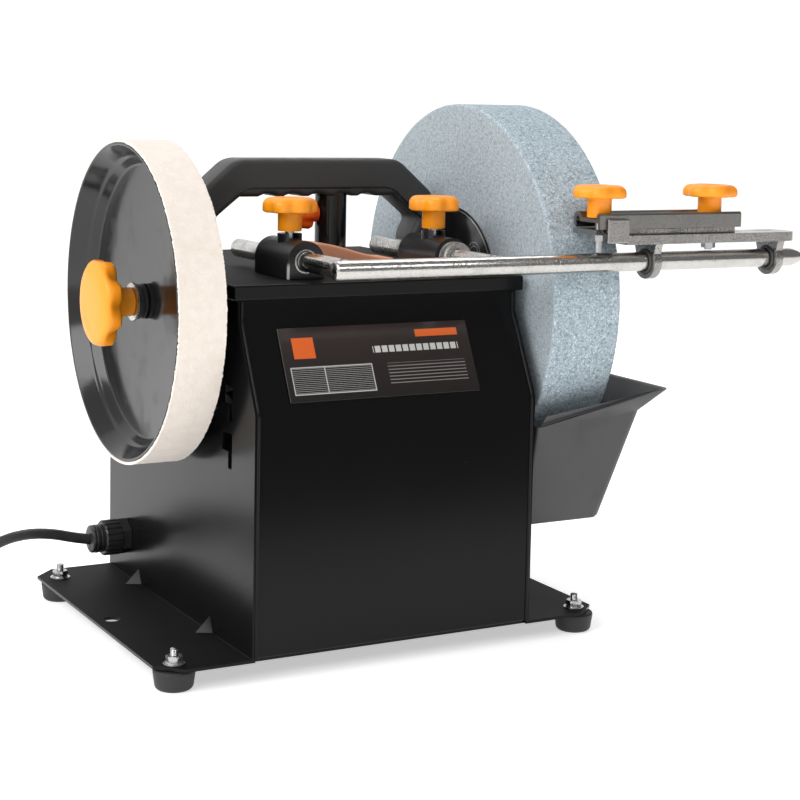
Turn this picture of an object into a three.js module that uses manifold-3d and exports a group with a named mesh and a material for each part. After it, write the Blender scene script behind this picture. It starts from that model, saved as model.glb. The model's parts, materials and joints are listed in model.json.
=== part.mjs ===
// Wet grinding sharpener: a sheet-metal housing with a water-cooled stone on the right end of its shaft,
// a leather stropping wheel on the left end, a tool support bar over the front and a carrying handle.
// Millimetres, +X along the shaft towards the stone, +Y to the back, +Z up.
// The parts are laid out about the middle of the housing and the shaft line, and the last section moves the
// whole machine so that its box stands centred on the origin with the feet's soles at z = 0.

import * as THREE from 'three';
import { mergeVertices } from 'three/addons/utils/BufferGeometryUtils.js';
import Module from 'manifold-3d';

const wasm = await Module();
wasm.setup();

// ---------------------------------------------------------------- driving dimensions

const GAP = 0.3;                 // space left between touching pieces
const SHEET = 2;                 // steel sheet thickness

const HOUSING_HALF = 95;         // half the width over the two side panels
const FRONT_Y = -119;
const BACK_Y = 124;
const FOOT_HEIGHT = 18;          // underside of the flanges
const SOLE_Z = 5.5;              // soles of the feet, and the surface that the lead lies on
const FLANGE_HALF = 151;         // half the width over the two foot flanges
const CREASE_Z = 163.7;          // where the front panel starts to lean back
const SLOPE_TOP_Y = -93;
const SLOPE_TOP_Z = 214.5;
const COVER_TOP_Z = 236.3;
const COVER_LIP_Z = 227;
const COVER_OVERHANG = 3.6;

const SHAFT_Z = 217.4;
const SHAFT_R = 6;
const BORE_R = SHAFT_R + GAP;
const SHAFT_LEFT_X = -139.5;
const SHAFT_RIGHT_X = 172;

const STONE_R = 125;
const STONE_X = 103.6;
const STONE_WIDTH = 50;
const STROP_R = 100;
const STROP_X = -134.5;
const STROP_WIDTH = 30;
const WHEEL_SIDES = 60;
const LEATHER = 1.7;
const WEB_X = -118;              // bottom of the dish in the stropping wheel
const TYRE_INNER_R = 88;
const ROLLER_R = 6;
const KNOB_FACE_X = -153;

const MOTOR_Z = SHAFT_Z - (TYRE_INNER_R - ROLLER_R - GAP);
const MOTOR_R = 54;
const MOTOR_X = [-62, 46];
const PIVOT_Y = 88;
const PIVOT_Z = 150;
const PIVOT_R = 5;

const BAR_R = 6;
const BAR_Y = -134;
const BAR_Z = 247;
const BAR_X = [-54, 289.5];
const LEG_X = [-44, 57];
const LEG_BACK_Y = 24;
const BRACKET_HALF = 12.2;
const ADJUST_NUT_R = 10.3;
const BRACKETS = [
  { name: 'left', x: LEG_X[0], y: [-77, -29] },
  { name: 'right', x: LEG_X[1], y: [-77, -29] },
];

const HANDLE_TOP_Z = 305;
const HANDLE_GRIP_Z = 280.5;      // underside of the grip
const HANDLE_X = 8;              // the handle stands a little to the stone's side
const HANDLE_Y = [12, 38];
const POST = { x: 22, y: 24, r: 10.5 };
const POST_KNOB_Z = 268.9;

const TROUGH_X = 98;             // face against the housing
const WALL = 3;
const TROUGH_LEVELS = {
  floor: { z: 76, right: 160, half: 101 },
  crease: { z: 149, right: 176, half: 121 },
  rim: { z: 165.5, right: 186, half: 139 },
};

const SLOT_Y = [-86, -71];       // hook windows in the side panels
const SLOT_LEVELS = [{ z: [136, 147], tail: 126 }, { z: [164, 175], tail: 154 }];
const SLOT_TAIL = 5.5;
const HOOK_LIFT = 10;

const JIG = { x: [142, 279], y: [-146, -122], z: [258.7, 264.6], eyes: [167, 264.8], studs: [128.5, 214] };

const JIG_KNOB_R = 17.6;
const CLAMP_KNOB_R = 16.8;

const FOOT_X = 138;
const FOOT_Y = [-105.5, 101];

const CORD_R = 3.5;
const GLAND = { x: -HOUSING_HALF, y: 90, z: 47, length: 26 };
const COIL = { x: -262, y: 150, inner: 28.5, outer: 49.5, height: 14.3 };

// ---------------------------------------------------------------- colours

const PAINT = { color: 0x151618, roughness: 0.28, metalness: 0.35 };
const CAST = { color: 0x1b1c1e, roughness: 0.5, metalness: 0.3 };
const CHROME = { color: 0xd9dadb, roughness: 0.15, metalness: 1 };
const STEEL = { color: 0xa8abad, roughness: 0.35, metalness: 1 };
const ALUMINIUM = { color: 0xc6c8ca, roughness: 0.38, metalness: 1 };
const ORANGE = { color: 0xff8c0a, roughness: 0.35, metalness: 0 };
const PLASTIC = { color: 0x2b2c2e, roughness: 0.55, metalness: 0 };
const GLOSS_PLASTIC = { color: 0x121212, roughness: 0.15, metalness: 0 };
const TROUGH_GREY = { color: 0x4b4c4e, roughness: 0.5, metalness: 0 };
const STONE = { color: 0xb0bdc8, roughness: 0.95, metalness: 0 };
const LEATHER_TAN = { color: 0xf3e7da, roughness: 0.85, metalness: 0 };
const RUBBER = { color: 0x1e1e1f, roughness: 0.85, metalness: 0 };
const PAPER = { color: 0xe2e2e0, roughness: 0.5, metalness: 0 };
const SALMON = { color: 0xe59a6c, roughness: 0.5, metalness: 0 };

// ---------------------------------------------------------------- solids

const X_AXIS = new THREE.Vector3(1, 0, 0);
const Y_AXIS = new THREE.Vector3(0, 1, 0);
const Z_AXIS = new THREE.Vector3(0, 0, 1);

function solid(geometry) {
  const bare = new THREE.BufferGeometry();
  const source = geometry.index ? geometry.toNonIndexed() : geometry;
  bare.setAttribute('position', source.getAttribute('position').clone());
  const merged = mergeVertices(bare, 1e-4);
  const mesh = new wasm.Mesh({
    numProp: 3,
    vertProperties: new Float32Array(merged.getAttribute('position').array),
    triVerts: new Uint32Array(merged.index.array),
  });
  return new wasm.Manifold(mesh);
}

function geometryOf(manifold) {
  const mesh = manifold.getMesh();
  const geometry = new THREE.BufferGeometry();
  geometry.setAttribute('position', new THREE.BufferAttribute(mesh.vertProperties, 3));
  geometry.setIndex(new THREE.BufferAttribute(mesh.triVerts, 1));
  geometry.computeVertexNormals();
  return geometry;
}

function join(first, ...others) {
  return others.reduce((sum, other) => sum.add(other), first);
}

function cut(first, ...others) {
  return others.reduce((rest, other) => rest.subtract(other), first);
}

function box(x, y, z) {
  const geometry = new THREE.BoxGeometry(x[1] - x[0], y[1] - y[0], z[1] - z[0]);
  return solid(geometry.translate((x[0] + x[1]) / 2, (y[0] + y[1]) / 2, (z[0] + z[1]) / 2));
}

function rodX(r, x, y, z, sides = 24) {
  const geometry = new THREE.CylinderGeometry(r, r, x[1] - x[0], sides).rotateZ(-Math.PI / 2);
  return solid(geometry.translate((x[0] + x[1]) / 2, y, z));
}

function rodY(r, x, y, z, sides = 24) {
  const geometry = new THREE.CylinderGeometry(r, r, y[1] - y[0], sides);
  return solid(geometry.translate(x, (y[0] + y[1]) / 2, z));
}

function rodZ(r, x, y, z, sides = 24) {
  const geometry = new THREE.CylinderGeometry(r, r, z[1] - z[0], sides).rotateX(Math.PI / 2);
  return solid(geometry.translate(x, y, (z[0] + z[1]) / 2));
}

function outline(points) {
  return new THREE.Shape(points.map(([a, b]) => new THREE.Vector2(a, b)));
}

function lobed(radius, depth, lobes) {
  const points = [];
  const steps = lobes * 6;
  for (let i = 0; i < steps; i += 1) {
    const angle = (2 * Math.PI * i) / steps;
    const r = radius - depth * (0.5 + 0.5 * Math.cos(lobes * angle));
    points.push([r * Math.cos(angle), r * Math.sin(angle)]);
  }
  return outline(points);
}

function extruded(shape, [low, high], curveSegments) {
  return new THREE.ExtrudeGeometry(shape, { depth: high - low, bevelEnabled: false, curveSegments });
}

function extrudeZ(shape, z, curveSegments = 8) {
  const geometry = extruded(shape, z, curveSegments);
  return solid(geometry.translate(0, 0, z[0]));
}

// The outline's first axis runs along X and its second along Z.
function extrudeY(shape, y, curveSegments = 8) {
  const geometry = extruded(shape, y, curveSegments);
  return solid(geometry.rotateX(Math.PI / 2).translate(0, y[1], 0));
}

// The outline's first axis runs along Y and its second along Z.
function extrudeX(shape, x, curveSegments = 8) {
  const geometry = extruded(shape, x, curveSegments);
  geometry.applyMatrix4(new THREE.Matrix4().makeBasis(Y_AXIS, Z_AXIS, X_AXIS));
  return solid(geometry.translate(x[0], 0, 0));
}

// A closed profile of [x, radius] points turned about the shaft line or about a line parallel to it.
function turnedX(profile, sides = 48, y = 0, z = SHAFT_Z) {
  const loop = profile.map(([x, r]) => new THREE.Vector2(r, x));
  loop.push(loop[0].clone());
  const geometry = new THREE.LatheGeometry(loop, sides).rotateZ(-Math.PI / 2);
  const body = solid(geometry.translate(0, y, z));
  return body.volume() < 0 ? solid(flipped(geometry)) : body;
}

function flipped(geometry) {
  const source = geometry.index ? geometry.toNonIndexed() : geometry;
  const array = source.getAttribute('position').array;
  for (let i = 0; i < array.length; i += 9) {
    for (let k = 0; k < 3; k += 1) {
      [array[i + k], array[i + 3 + k]] = [array[i + 3 + k], array[i + k]];
    }
  }
  return source;
}

function ringX(inner, outer, x, sides = 32, y = 0, z = SHAFT_Z) {
  return cut(rodX(outer, x, y, z, sides), rodX(inner, [x[0] - 1, x[1] + 1], y, z, sides));
}

// A solid between two rectangles, each { x: [a, b], y: [a, b], z }.
function frustum(low, high) {
  const corners = [low, high].flatMap(({ x, y, z }) => [
    [x[0], y[0], z], [x[1], y[0], z], [x[1], y[1], z], [x[0], y[1], z],
  ]);
  const faces = [[0, 3, 2, 1], [4, 5, 6, 7], [0, 1, 5, 4], [1, 2, 6, 5], [2, 3, 7, 6], [3, 0, 4, 7]];
  const geometry = new THREE.BufferGeometry();
  geometry.setAttribute('position', new THREE.Float32BufferAttribute(corners.flat(), 3));
  geometry.setIndex(faces.flatMap(([a, b, c, d]) => [a, b, c, a, c, d]));
  return solid(geometry);
}

function sweep(points, radius, steps, sides = 10) {
  const curve = new THREE.CatmullRomCurve3(points.map(([x, y, z]) => new THREE.Vector3(x, y, z)));
  const section = new THREE.Shape();
  for (let i = 0; i < sides; i += 1) {
    const angle = (2 * Math.PI * i) / sides;
    const x = radius * Math.cos(angle);
    const y = radius * Math.sin(angle);
    if (i === 0) section.moveTo(x, y);
    else section.lineTo(x, y);
  }
  const options = { steps, extrudePath: curve, bevelEnabled: false };
  return solid(new THREE.ExtrudeGeometry(section, options));
}

// ---------------------------------------------------------------- the assembly's nodes

const machine = new THREE.Group();
machine.name = 'wet_grinding_sharpener';

function group(name) {
  const child = new THREE.Group();
  child.name = name;
  machine.add(child);
  return child;
}

const housing = group('housing');
const drive = group('drive');
const wheels = group('wheels');
const support = group('support');
const jig = group('jig');
const lead = group('mains_lead');

// ---------------------------------------------------------------- housing

function sidePanel(side) {
  const wall = side < 0 ? [-HOUSING_HALF, -HOUSING_HALF + SHEET] : [HOUSING_HALF - SHEET, HOUSING_HALF];
  const top = COVER_TOP_Z - SHEET - 0.5;
  const profile = outline([
    [FRONT_Y, FOOT_HEIGHT], [BACK_Y, FOOT_HEIGHT], [BACK_Y, top],
    [SLOPE_TOP_Y, top], [SLOPE_TOP_Y, SLOPE_TOP_Z], [FRONT_Y, CREASE_Z],
  ]);
  const corner = 14;
  const out = side * FLANGE_HALF;
  const root = side * (HOUSING_HALF - SHEET);
  const flange = outline([
    [root, FRONT_Y], [out - side * corner, FRONT_Y], [out, FRONT_Y + corner],
    [out, BACK_Y - corner], [out - side * corner, BACK_Y], [root, BACK_Y],
  ]);
  const flangeTop = FOOT_HEIGHT + SHEET;
  let body = join(extrudeX(profile, wall), extrudeZ(flange, [FOOT_HEIGHT, flangeTop]));
  for (const y of [-55, 67]) {
    body = join(body, gusset(side, y, flangeTop));
  }
  body = cut(body, rodZ(5, side * 140, -6, [FOOT_HEIGHT - 1, flangeTop + 1]));
  body = cut(body, ...FOOT_Y.map((y) => rodZ(3.4, side * FOOT_X, y, [FOOT_HEIGHT - 1, flangeTop + 1], 16)));
  return cut(body, rodX(8 + GAP, [wall[0] - 1, wall[1] + 1], 0, SHAFT_Z, 32), ...hookSlots(wall));
}

// A rib pressed across the bend: a pyramid whose ridge runs from the flange up to the wall.
function gusset(side, y, base) {
  const [reach, half, sunk] = [10, 5.5, 0.5];
  const root = side * (HOUSING_HALF - sunk);
  const low = base - sunk;
  const corners = [
    [root, y - side * half, low], [root, y + side * half, low], [root + side * (reach + sunk), y, low],
    [root, y, base + reach],
  ];
  const geometry = new THREE.BufferGeometry();
  geometry.setAttribute('position', new THREE.Float32BufferAttribute(corners.flat(), 3));
  geometry.setIndex([0, 1, 2, 0, 2, 3, 2, 1, 3, 1, 0, 3]);
  return solid(geometry);
}

function hookSlots(wall) {
  const through = [wall[0] - 1, wall[1] + 1];
  return SLOT_LEVELS.flatMap(({ z, tail }) => [
    box(through, SLOT_Y, z),
    box(through, [SLOT_Y[0], SLOT_Y[0] + SLOT_TAIL], [tail, z[0] + 1]),
    box(through, [-SLOT_Y[1], -SLOT_Y[0]], z),
    box(through, [-SLOT_Y[0] - SLOT_TAIL, -SLOT_Y[0]], [tail, z[0] + 1]),
  ]);
}

const INNER_HALF = HOUSING_HALF - SHEET - GAP;

function frontPanel() {
  const z = [FOOT_HEIGHT + SHEET + GAP, COVER_TOP_Z - SHEET - 0.5];
  const face = outline([
    [FRONT_Y, z[0]], [FRONT_Y + SHEET, z[0]], [FRONT_Y + SHEET, CREASE_Z - 0.4],
    [SLOPE_TOP_Y + SHEET, SLOPE_TOP_Z - 0.4], [SLOPE_TOP_Y + SHEET, z[1]],
    [SLOPE_TOP_Y, z[1]], [SLOPE_TOP_Y, SLOPE_TOP_Z], [FRONT_Y, CREASE_Z],
  ]);
  return extrudeX(face, [-INNER_HALF, INNER_HALF]);
}

const SWITCH = { x: 45, z: 150, half: [15, 11] };

function rearPanel() {
  const z = [FOOT_HEIGHT + SHEET + GAP, COVER_TOP_Z - SHEET - 0.5];
  let body = box([-INNER_HALF, INNER_HALF], [BACK_Y - SHEET, BACK_Y], z);
  for (let i = 0; i < 6; i += 1) {
    const at = 60 + 12 * i;
    body = cut(body, box([-65, -5], [BACK_Y - SHEET - 1, BACK_Y + 1], [at, at + 4.5]));
  }
  const [half, tall] = SWITCH.half;
  const hole = box(
    [SWITCH.x - half + 1, SWITCH.x + half - 1], [BACK_Y - SHEET - 1, BACK_Y + 1],
    [SWITCH.z - tall + 1, SWITCH.z + tall - 1],
  );
  return cut(body, hole);
}

function bottomPlate() {
  const y = [FRONT_Y + SHEET + GAP, BACK_Y - SHEET - GAP];
  const plate = box([-INNER_HALF, INNER_HALF], y, [FOOT_HEIGHT, FOOT_HEIGHT + SHEET]);
  return join(plate, rodZ(4, SPRING.x, SPRING.y, [FOOT_HEIGHT + 1, SPRING.z[0] - GAP], 16));
}

function topCover() {
  const half = HOUSING_HALF + COVER_OVERHANG;
  const inner = HOUSING_HALF + 0.9;
  const y = [SLOPE_TOP_Y - COVER_OVERHANG, BACK_Y + COVER_OVERHANG];
  const shell = box([-half, half], y, [COVER_LIP_Z, COVER_TOP_Z]);
  const room = box(
    [-inner, inner], [SLOPE_TOP_Y - 0.9, BACK_Y + 0.9], [COVER_LIP_Z - 1, COVER_TOP_Z - SHEET - 0.2],
  );
  return cut(shell, room);
}

function labelPlate() {
  const lean = Math.atan2(SLOPE_TOP_Y - FRONT_Y, SLOPE_TOP_Z - CREASE_Z);
  const length = Math.hypot(SLOPE_TOP_Y - FRONT_Y, SLOPE_TOP_Z - CREASE_Z);
  const [half, border] = [64, 5.5];
  const geometry = new THREE.BoxGeometry(2 * half, 0.8, length - 2 * border);
  geometry.rotateX(-lean).translate(-8, (FRONT_Y + SLOPE_TOP_Y) / 2, (CREASE_Z + SLOPE_TOP_Z) / 2);
  geometry.translate(0, -0.75 * Math.cos(lean), 0.75 * Math.sin(lean));
  return solid(geometry);
}

function carryHandle() {
  const foot = COVER_TOP_Z + GAP;
  const right = [
    [56, HANDLE_GRIP_Z], [75.5, 262], [69.5, 258], [69.5, foot], [87, foot], [87, 281], [59, HANDLE_TOP_Z],
  ];
  const left = right.map(([x, z]) => [-x, z]).reverse();
  let body = extrudeY(outline([...right, ...left].map(([x, z]) => [x + HANDLE_X, z])), HANDLE_Y);
  const scallop = { r: 14, pitch: 18, sink: 1.8 };
  for (let i = -2; i <= 2; i += 1) {
    const z = HANDLE_GRIP_Z - scallop.r + scallop.sink;
    const across = [HANDLE_Y[0] - 1, HANDLE_Y[1] + 1];
    body = cut(body, rodY(scallop.r, HANDLE_X + i * scallop.pitch, across, z, 40));
  }
  return cut(body, rodZ(POST.r + GAP, POST.x, POST.y, [270, 290]));
}

function handlePost() {
  const post = rodZ(POST.r, POST.x, POST.y, [COVER_TOP_Z + GAP, 289.7], 28);
  return cut(post, rodX(3 + GAP, [POST.x - POST.r - 1, POST.x - 4], POST.y, POST_KNOB_Z, 16));
}

function postKnob() {
  const face = POST.x - POST.r - GAP;
  const geometry = new THREE.ExtrudeGeometry(lobed(10.8, 1.8, 5), { depth: 9, bevelEnabled: false });
  geometry.applyMatrix4(new THREE.Matrix4().makeBasis(Y_AXIS, Z_AXIS, X_AXIS));
  geometry.translate(face - 13, POST.y, POST_KNOB_Z);
  const stem = rodX(6, [face - 4.5, face], POST.y, POST_KNOB_Z, 16);
  const thread = rodX(3, [face - 1, POST.x - 4.5], POST.y, POST_KNOB_Z, 16);
  return join(solid(geometry), stem, thread);
}

function coverPad() {
  const base = COVER_TOP_Z + GAP;
  const hump = new THREE.Shape();
  hump.moveTo(-34, base);
  hump.lineTo(46, base);
  hump.quadraticCurveTo(45, 240.8, 38, 243.2);
  hump.bezierCurveTo(20, 249.5, 0, 254, -14, 253.8);
  hump.bezierCurveTo(-26, 253.4, -33, 248, -34, base);
  return extrudeY(hump, [-28, -7], 6);
}

// ---------------------------------------------------------------- feet

function rubberFoot(x, y) {
  const body = rodZ(12.5, x, y, [SOLE_Z, FOOT_HEIGHT - GAP], 24);
  return cut(body, rodZ(3 + GAP, x, y, [SOLE_Z + 4, FOOT_HEIGHT + 1], 16));
}

// ---------------------------------------------------------------- shaft and wheels

function mainShaft() {
  return turnedX([
    [SHAFT_LEFT_X, 0], [SHAFT_LEFT_X, SHAFT_R], [SHAFT_RIGHT_X - 1, SHAFT_R],
    [SHAFT_RIGHT_X, SHAFT_R - 1], [SHAFT_RIGHT_X, 0],
  ], 32);
}

function shaftBush(side) {
  const wall = [HOUSING_HALF - SHEET, HOUSING_HALF];
  const sleeve = [wall[0] - 8, wall[1] + 2.3];
  const flange = [wall[1] + GAP, wall[1] + 2.3];
  const place = (span) => (side < 0 ? [-span[1], -span[0]] : span);
  const body = join(rodX(8, place(sleeve), 0, SHAFT_Z), rodX(9.2, place(flange), 0, SHAFT_Z));
  return cut(body, rodX(BORE_R, place([wall[0] - 10, wall[1] + 4]), 0, SHAFT_Z));
}

function grindingStone() {
  const x = [STONE_X, STONE_X + STONE_WIDTH];
  const bevel = 1.5;
  return turnedX([
    [x[0], BORE_R], [x[0], STONE_R - bevel], [x[0] + bevel, STONE_R],
    [x[1] - bevel, STONE_R], [x[1], STONE_R - bevel], [x[1], BORE_R],
  ], 72);
}

function stropWheel() {
  const edge = STROP_R - LEATHER - GAP;
  const right = STROP_X + STROP_WIDTH;
  return turnedX([
    [STROP_X, edge], [STROP_X, edge - 1.4], [-124.5, 90.5], [-123.2, 88.6], [WEB_X, 85.5], [WEB_X, BORE_R],
    [-104, BORE_R], [-104, 14], [WEB_X + 3, 14], [WEB_X + 3, TYRE_INNER_R + 4],
    [right, TYRE_INNER_R + 4], [right, edge],
  ], WHEEL_SIDES);
}

function stropLeather() {
  return ringX(STROP_R - LEATHER, STROP_R, [STROP_X, STROP_X + STROP_WIDTH], WHEEL_SIDES);
}

function driveTyre() {
  const x = [WEB_X + 3 + GAP, STROP_X + STROP_WIDTH - 1];
  return ringX(TYRE_INNER_R, TYRE_INNER_R + 4 - GAP, x, WHEEL_SIDES);
}

function stropCollar() {
  const x = [-124.2, WEB_X - GAP];
  const middle = (x[0] + x[1]) / 2;
  return turnedX([
    [x[0], BORE_R], [x[0], 10.4], [x[0] + 0.8, 11], [middle - 0.6, 11], [middle, 10],
    [middle + 0.6, 11], [x[1] - 0.6, 11], [x[1], 10.4], [x[1], BORE_R],
  ], 24);
}

function stropWasher() {
  return ringX(BORE_R, 12.2, [-126, -124.5], 32);
}

function stropKnob() {
  const cap = turnedX([
    [-126.3, BORE_R], [-126.3, 9], [-138.5, 9], [-139.3, 22], [-141.5, 27], [-148, 27],
    [-151.3, 23], [-152.6, 14], [KNOB_FACE_X, 6], [KNOB_FACE_X, 0], [SHAFT_LEFT_X - GAP, 0],
    [SHAFT_LEFT_X - GAP, BORE_R],
  ], 32);
  const notches = [];
  for (let i = 0; i < 8; i += 1) {
    const angle = (2 * Math.PI * i) / 8;
    const [y, z] = [31 * Math.cos(angle), SHAFT_Z + 31 * Math.sin(angle)];
    notches.push(rodX(6, [-149, -135], y, z, 12));
  }
  return cut(cap, ...notches);
}

function stoneNut() {
  const x = STONE_X + STONE_WIDTH + 4.9;
  const body = join(rodX(16, [x, x + 10], 0, SHAFT_Z, 6), rodX(17, [x, x + 2], 0, SHAFT_Z, 24));
  return cut(body, rodX(BORE_R, [x - 1, x + 11], 0, SHAFT_Z, 24));
}

// ---------------------------------------------------------------- motor and friction drive

function motorBody() {
  const [left, right] = MOTOR_X;
  const bore = 5 + GAP;
  const profile = [
    [left, bore], [left, 20], [left + 6, 22], [left + 8, MOTOR_R - 3], [left + 14, MOTOR_R],
    [right - 14, MOTOR_R], [right - 8, MOTOR_R - 3], [right - 6, 22], [right, 20], [right, bore],
  ];
  return turnedX(profile, 32, 0, MOTOR_Z);
}

function motorShaft() {
  return turnedX([
    [-110.5, 0], [-110.5, ROLLER_R], [-98, ROLLER_R], [-96, 5], [58, 5], [58, 0],
  ], 24, 0, MOTOR_Z);
}

function motorFan() {
  const x = [MOTOR_X[1] + 2, MOTOR_X[1] + 10];
  let body = rodX(10, x, 0, MOTOR_Z, 24);
  for (let i = 0; i < 9; i += 1) {
    const blade = new THREE.BoxGeometry(x[1] - x[0] - 1, 1.6, 32);
    blade.translate((x[0] + x[1]) / 2, 0, 24).rotateX((2 * Math.PI * i) / 9).translate(0, 0, MOTOR_Z);
    body = join(body, solid(blade));
  }
  return cut(body, rodX(5 + GAP, [x[0] - 1, x[1] + 1], 0, MOTOR_Z, 24));
}

const CRADLE_X = [-20, 12];
const SPRING = { x: -4, y: -70, z: [36.3, 115.7], turns: 8, r: 5, wire: 0.9 };

function motorCradle() {
  const band = ringX(MOTOR_R + GAP, MOTOR_R + 4, CRADLE_X, 40, 0, MOTOR_Z);
  const arm = extrudeX(outline([
    [MOTOR_R + 1, MOTOR_Z - 12], [PIVOT_Y + 1, PIVOT_Z - 10], [PIVOT_Y + 1, PIVOT_Z + 10],
    [MOTOR_R + 1, MOTOR_Z + 26],
  ]), CRADLE_X);
  const eye = rodX(PIVOT_R + 5.5, CRADLE_X, PIVOT_Y, PIVOT_Z, 28);
  const lug = box([CRADLE_X[0] + 8, CRADLE_X[1] - 8], [SPRING.y - 7, -MOTOR_R + 3], [116, 120]);
  const body = join(band, cut(arm, rodX(MOTOR_R + GAP, [-30, 20], 0, MOTOR_Z, 40)), eye);
  const clear = rodX(MOTOR_R + GAP, [-30, 20], 0, MOTOR_Z, 40);
  return cut(join(body, cut(lug, clear)), rodX(PIVOT_R + GAP, [-30, 20], PIVOT_Y, PIVOT_Z, 28));
}

function pivotPin() {
  return rodX(PIVOT_R, [-INNER_HALF, INNER_HALF], PIVOT_Y, PIVOT_Z, 28);
}

function tensionSpring() {
  const points = [];
  const steps = SPRING.turns * 8;
  for (let i = 0; i <= steps; i += 1) {
    const angle = (2 * Math.PI * i) / 8;
    const low = SPRING.z[0] + SPRING.wire;
    const high = SPRING.z[1] - SPRING.wire;
    const z = low + ((high - low) * i) / steps;
    points.push([SPRING.x + SPRING.r * Math.cos(angle), SPRING.y + SPRING.r * Math.sin(angle), z]);
  }
  return sweep(points, SPRING.wire, steps, 5);
}

// ---------------------------------------------------------------- electrics

function capacitor() {
  return rodX(17, [20, 82], -88, FOOT_HEIGHT + SHEET + GAP + 17, 28);
}

function terminalBlock() {
  const z = FOOT_HEIGHT + SHEET + GAP;
  const body = box([-80, -66], [30, 74], [z, z + 14]);
  const holes = [0, 1, 2, 3].map((i) => rodZ(2.4, -73, 36 + 10.5 * i, [z + 8, z + 15], 12));
  return cut(body, ...holes);
}

function switchBody() {
  const [half, tall] = SWITCH.half;
  const outer = box(
    [SWITCH.x - half + 1.4, SWITCH.x + half - 1.4], [BACK_Y - 22, BACK_Y + 1],
    [SWITCH.z - tall + 1.4, SWITCH.z + tall - 1.4],
  );
  const bezel = box(
    [SWITCH.x - half, SWITCH.x + half], [BACK_Y + GAP, BACK_Y + 2.3], [SWITCH.z - tall, SWITCH.z + tall],
  );
  const well = box(
    [SWITCH.x - half + 3, SWITCH.x + half - 3], [BACK_Y - 11, BACK_Y + 3],
    [SWITCH.z - tall + 3, SWITCH.z + tall - 3],
  );
  return cut(join(outer, bezel), well);
}

function switchRocker() {
  const [half, tall] = SWITCH.half;
  const x = [SWITCH.x - half + 3.5, SWITCH.x + half - 3.5];
  const shape = outline([
    [x[0], BACK_Y - 3], [x[1], BACK_Y - 3], [x[1], BACK_Y + 1], [SWITCH.x, BACK_Y + 2.4],
    [x[0] + 1.6, BACK_Y + 4.6],
  ]);
  return extrudeZ(shape, [SWITCH.z - tall + 3.5, SWITCH.z + tall - 3.5]);
}

// ---------------------------------------------------------------- brackets, knobs and support bar

function bracket({ x, y }) {
  const shape = new THREE.Shape();
  shape.moveTo(x - BRACKET_HALF, COVER_TOP_Z + GAP);
  shape.lineTo(x + BRACKET_HALF, COVER_TOP_Z + GAP);
  shape.lineTo(x + BRACKET_HALF, BAR_Z);
  shape.absarc(x, BAR_Z, BRACKET_HALF, 0, Math.PI, false);
  const middle = (y[0] + y[1]) / 2;
  const boss = rodZ(7.6, x, middle, [BAR_Z + 8, BOSS_TOP_Z], 28);
  const slot = box([x - 3.5, x + 3.5], [middle - 8, middle], [BAR_Z + BRACKET_HALF + 0.3, BOSS_TOP_Z + 1]);
  const body = cut(join(extrudeY(shape, y, 16), boss), slot);
  const screwHole = rodZ(3 + GAP, x, middle, [BAR_Z, BAR_Z + 20], 16);
  return cut(body, rodY(BAR_R + GAP, x, [y[0] - 1, y[1] + 1], BAR_Z, 32), screwHole);
}

const BOSS_TOP_Z = 262.4;
const CLAMP = { stem: [263.8, 0], cap: [275, 284.3] };

function clampKnob({ x, y }) {
  const middle = (y[0] + y[1]) / 2;
  const screw = rodZ(3, x, middle, [BAR_Z + BAR_R + GAP, CLAMP.stem[0] + 1], 16);
  return join(starKnob(x, middle, CLAMP, CLAMP_KNOB_R, 7.4), screw);
}

function starKnob(x, y, { stem, cap }, radius, stemR) {
  const geometry = new THREE.ExtrudeGeometry(
    lobed(radius, radius * 0.13, 6), { depth: cap[1] - cap[0], bevelEnabled: false },
  );
  return join(solid(geometry.translate(x, y, cap[0])), rodZ(stemR, x, y, [stem[0], cap[0] + 1], 24));
}

function supportBar() {
  const bar = turnedX([
    [BAR_X[0], 0], [BAR_X[0], BAR_R - 0.8], [BAR_X[0] + 0.8, BAR_R], [BAR_X[1] - 9, BAR_R],
    [BAR_X[1] - 1, BAR_R - 2], [BAR_X[1], BAR_R - 3], [BAR_X[1], 0],
  ], 24, BAR_Y, BAR_Z);
  return join(bar, ...LEG_X.map((x) => rodY(BAR_R, x, [BAR_Y, LEG_BACK_Y], BAR_Z, 24)));
}

function adjustNut() {
  const y = [BRACKETS[1].y[0] - GAP - 8, BRACKETS[1].y[0] - GAP];
  const body = rodY(ADJUST_NUT_R, LEG_X[1], y, BAR_Z, 32);
  return cut(body, rodY(BAR_R + GAP, LEG_X[1], [y[0] - 1, y[1] + 1], BAR_Z, 32));
}

// ---------------------------------------------------------------- straight-edge jig on the support bar

const EYE = { r: 11, bore: 8 + GAP, half: 2.75 };
const LOWER_JAW_Z = [JIG.z[1], 268];
const JAW_FLOOR_Z = 274.8;        // the channel that the jig's knobs stand in
const JAW_X = [121, 230.5];

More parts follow.
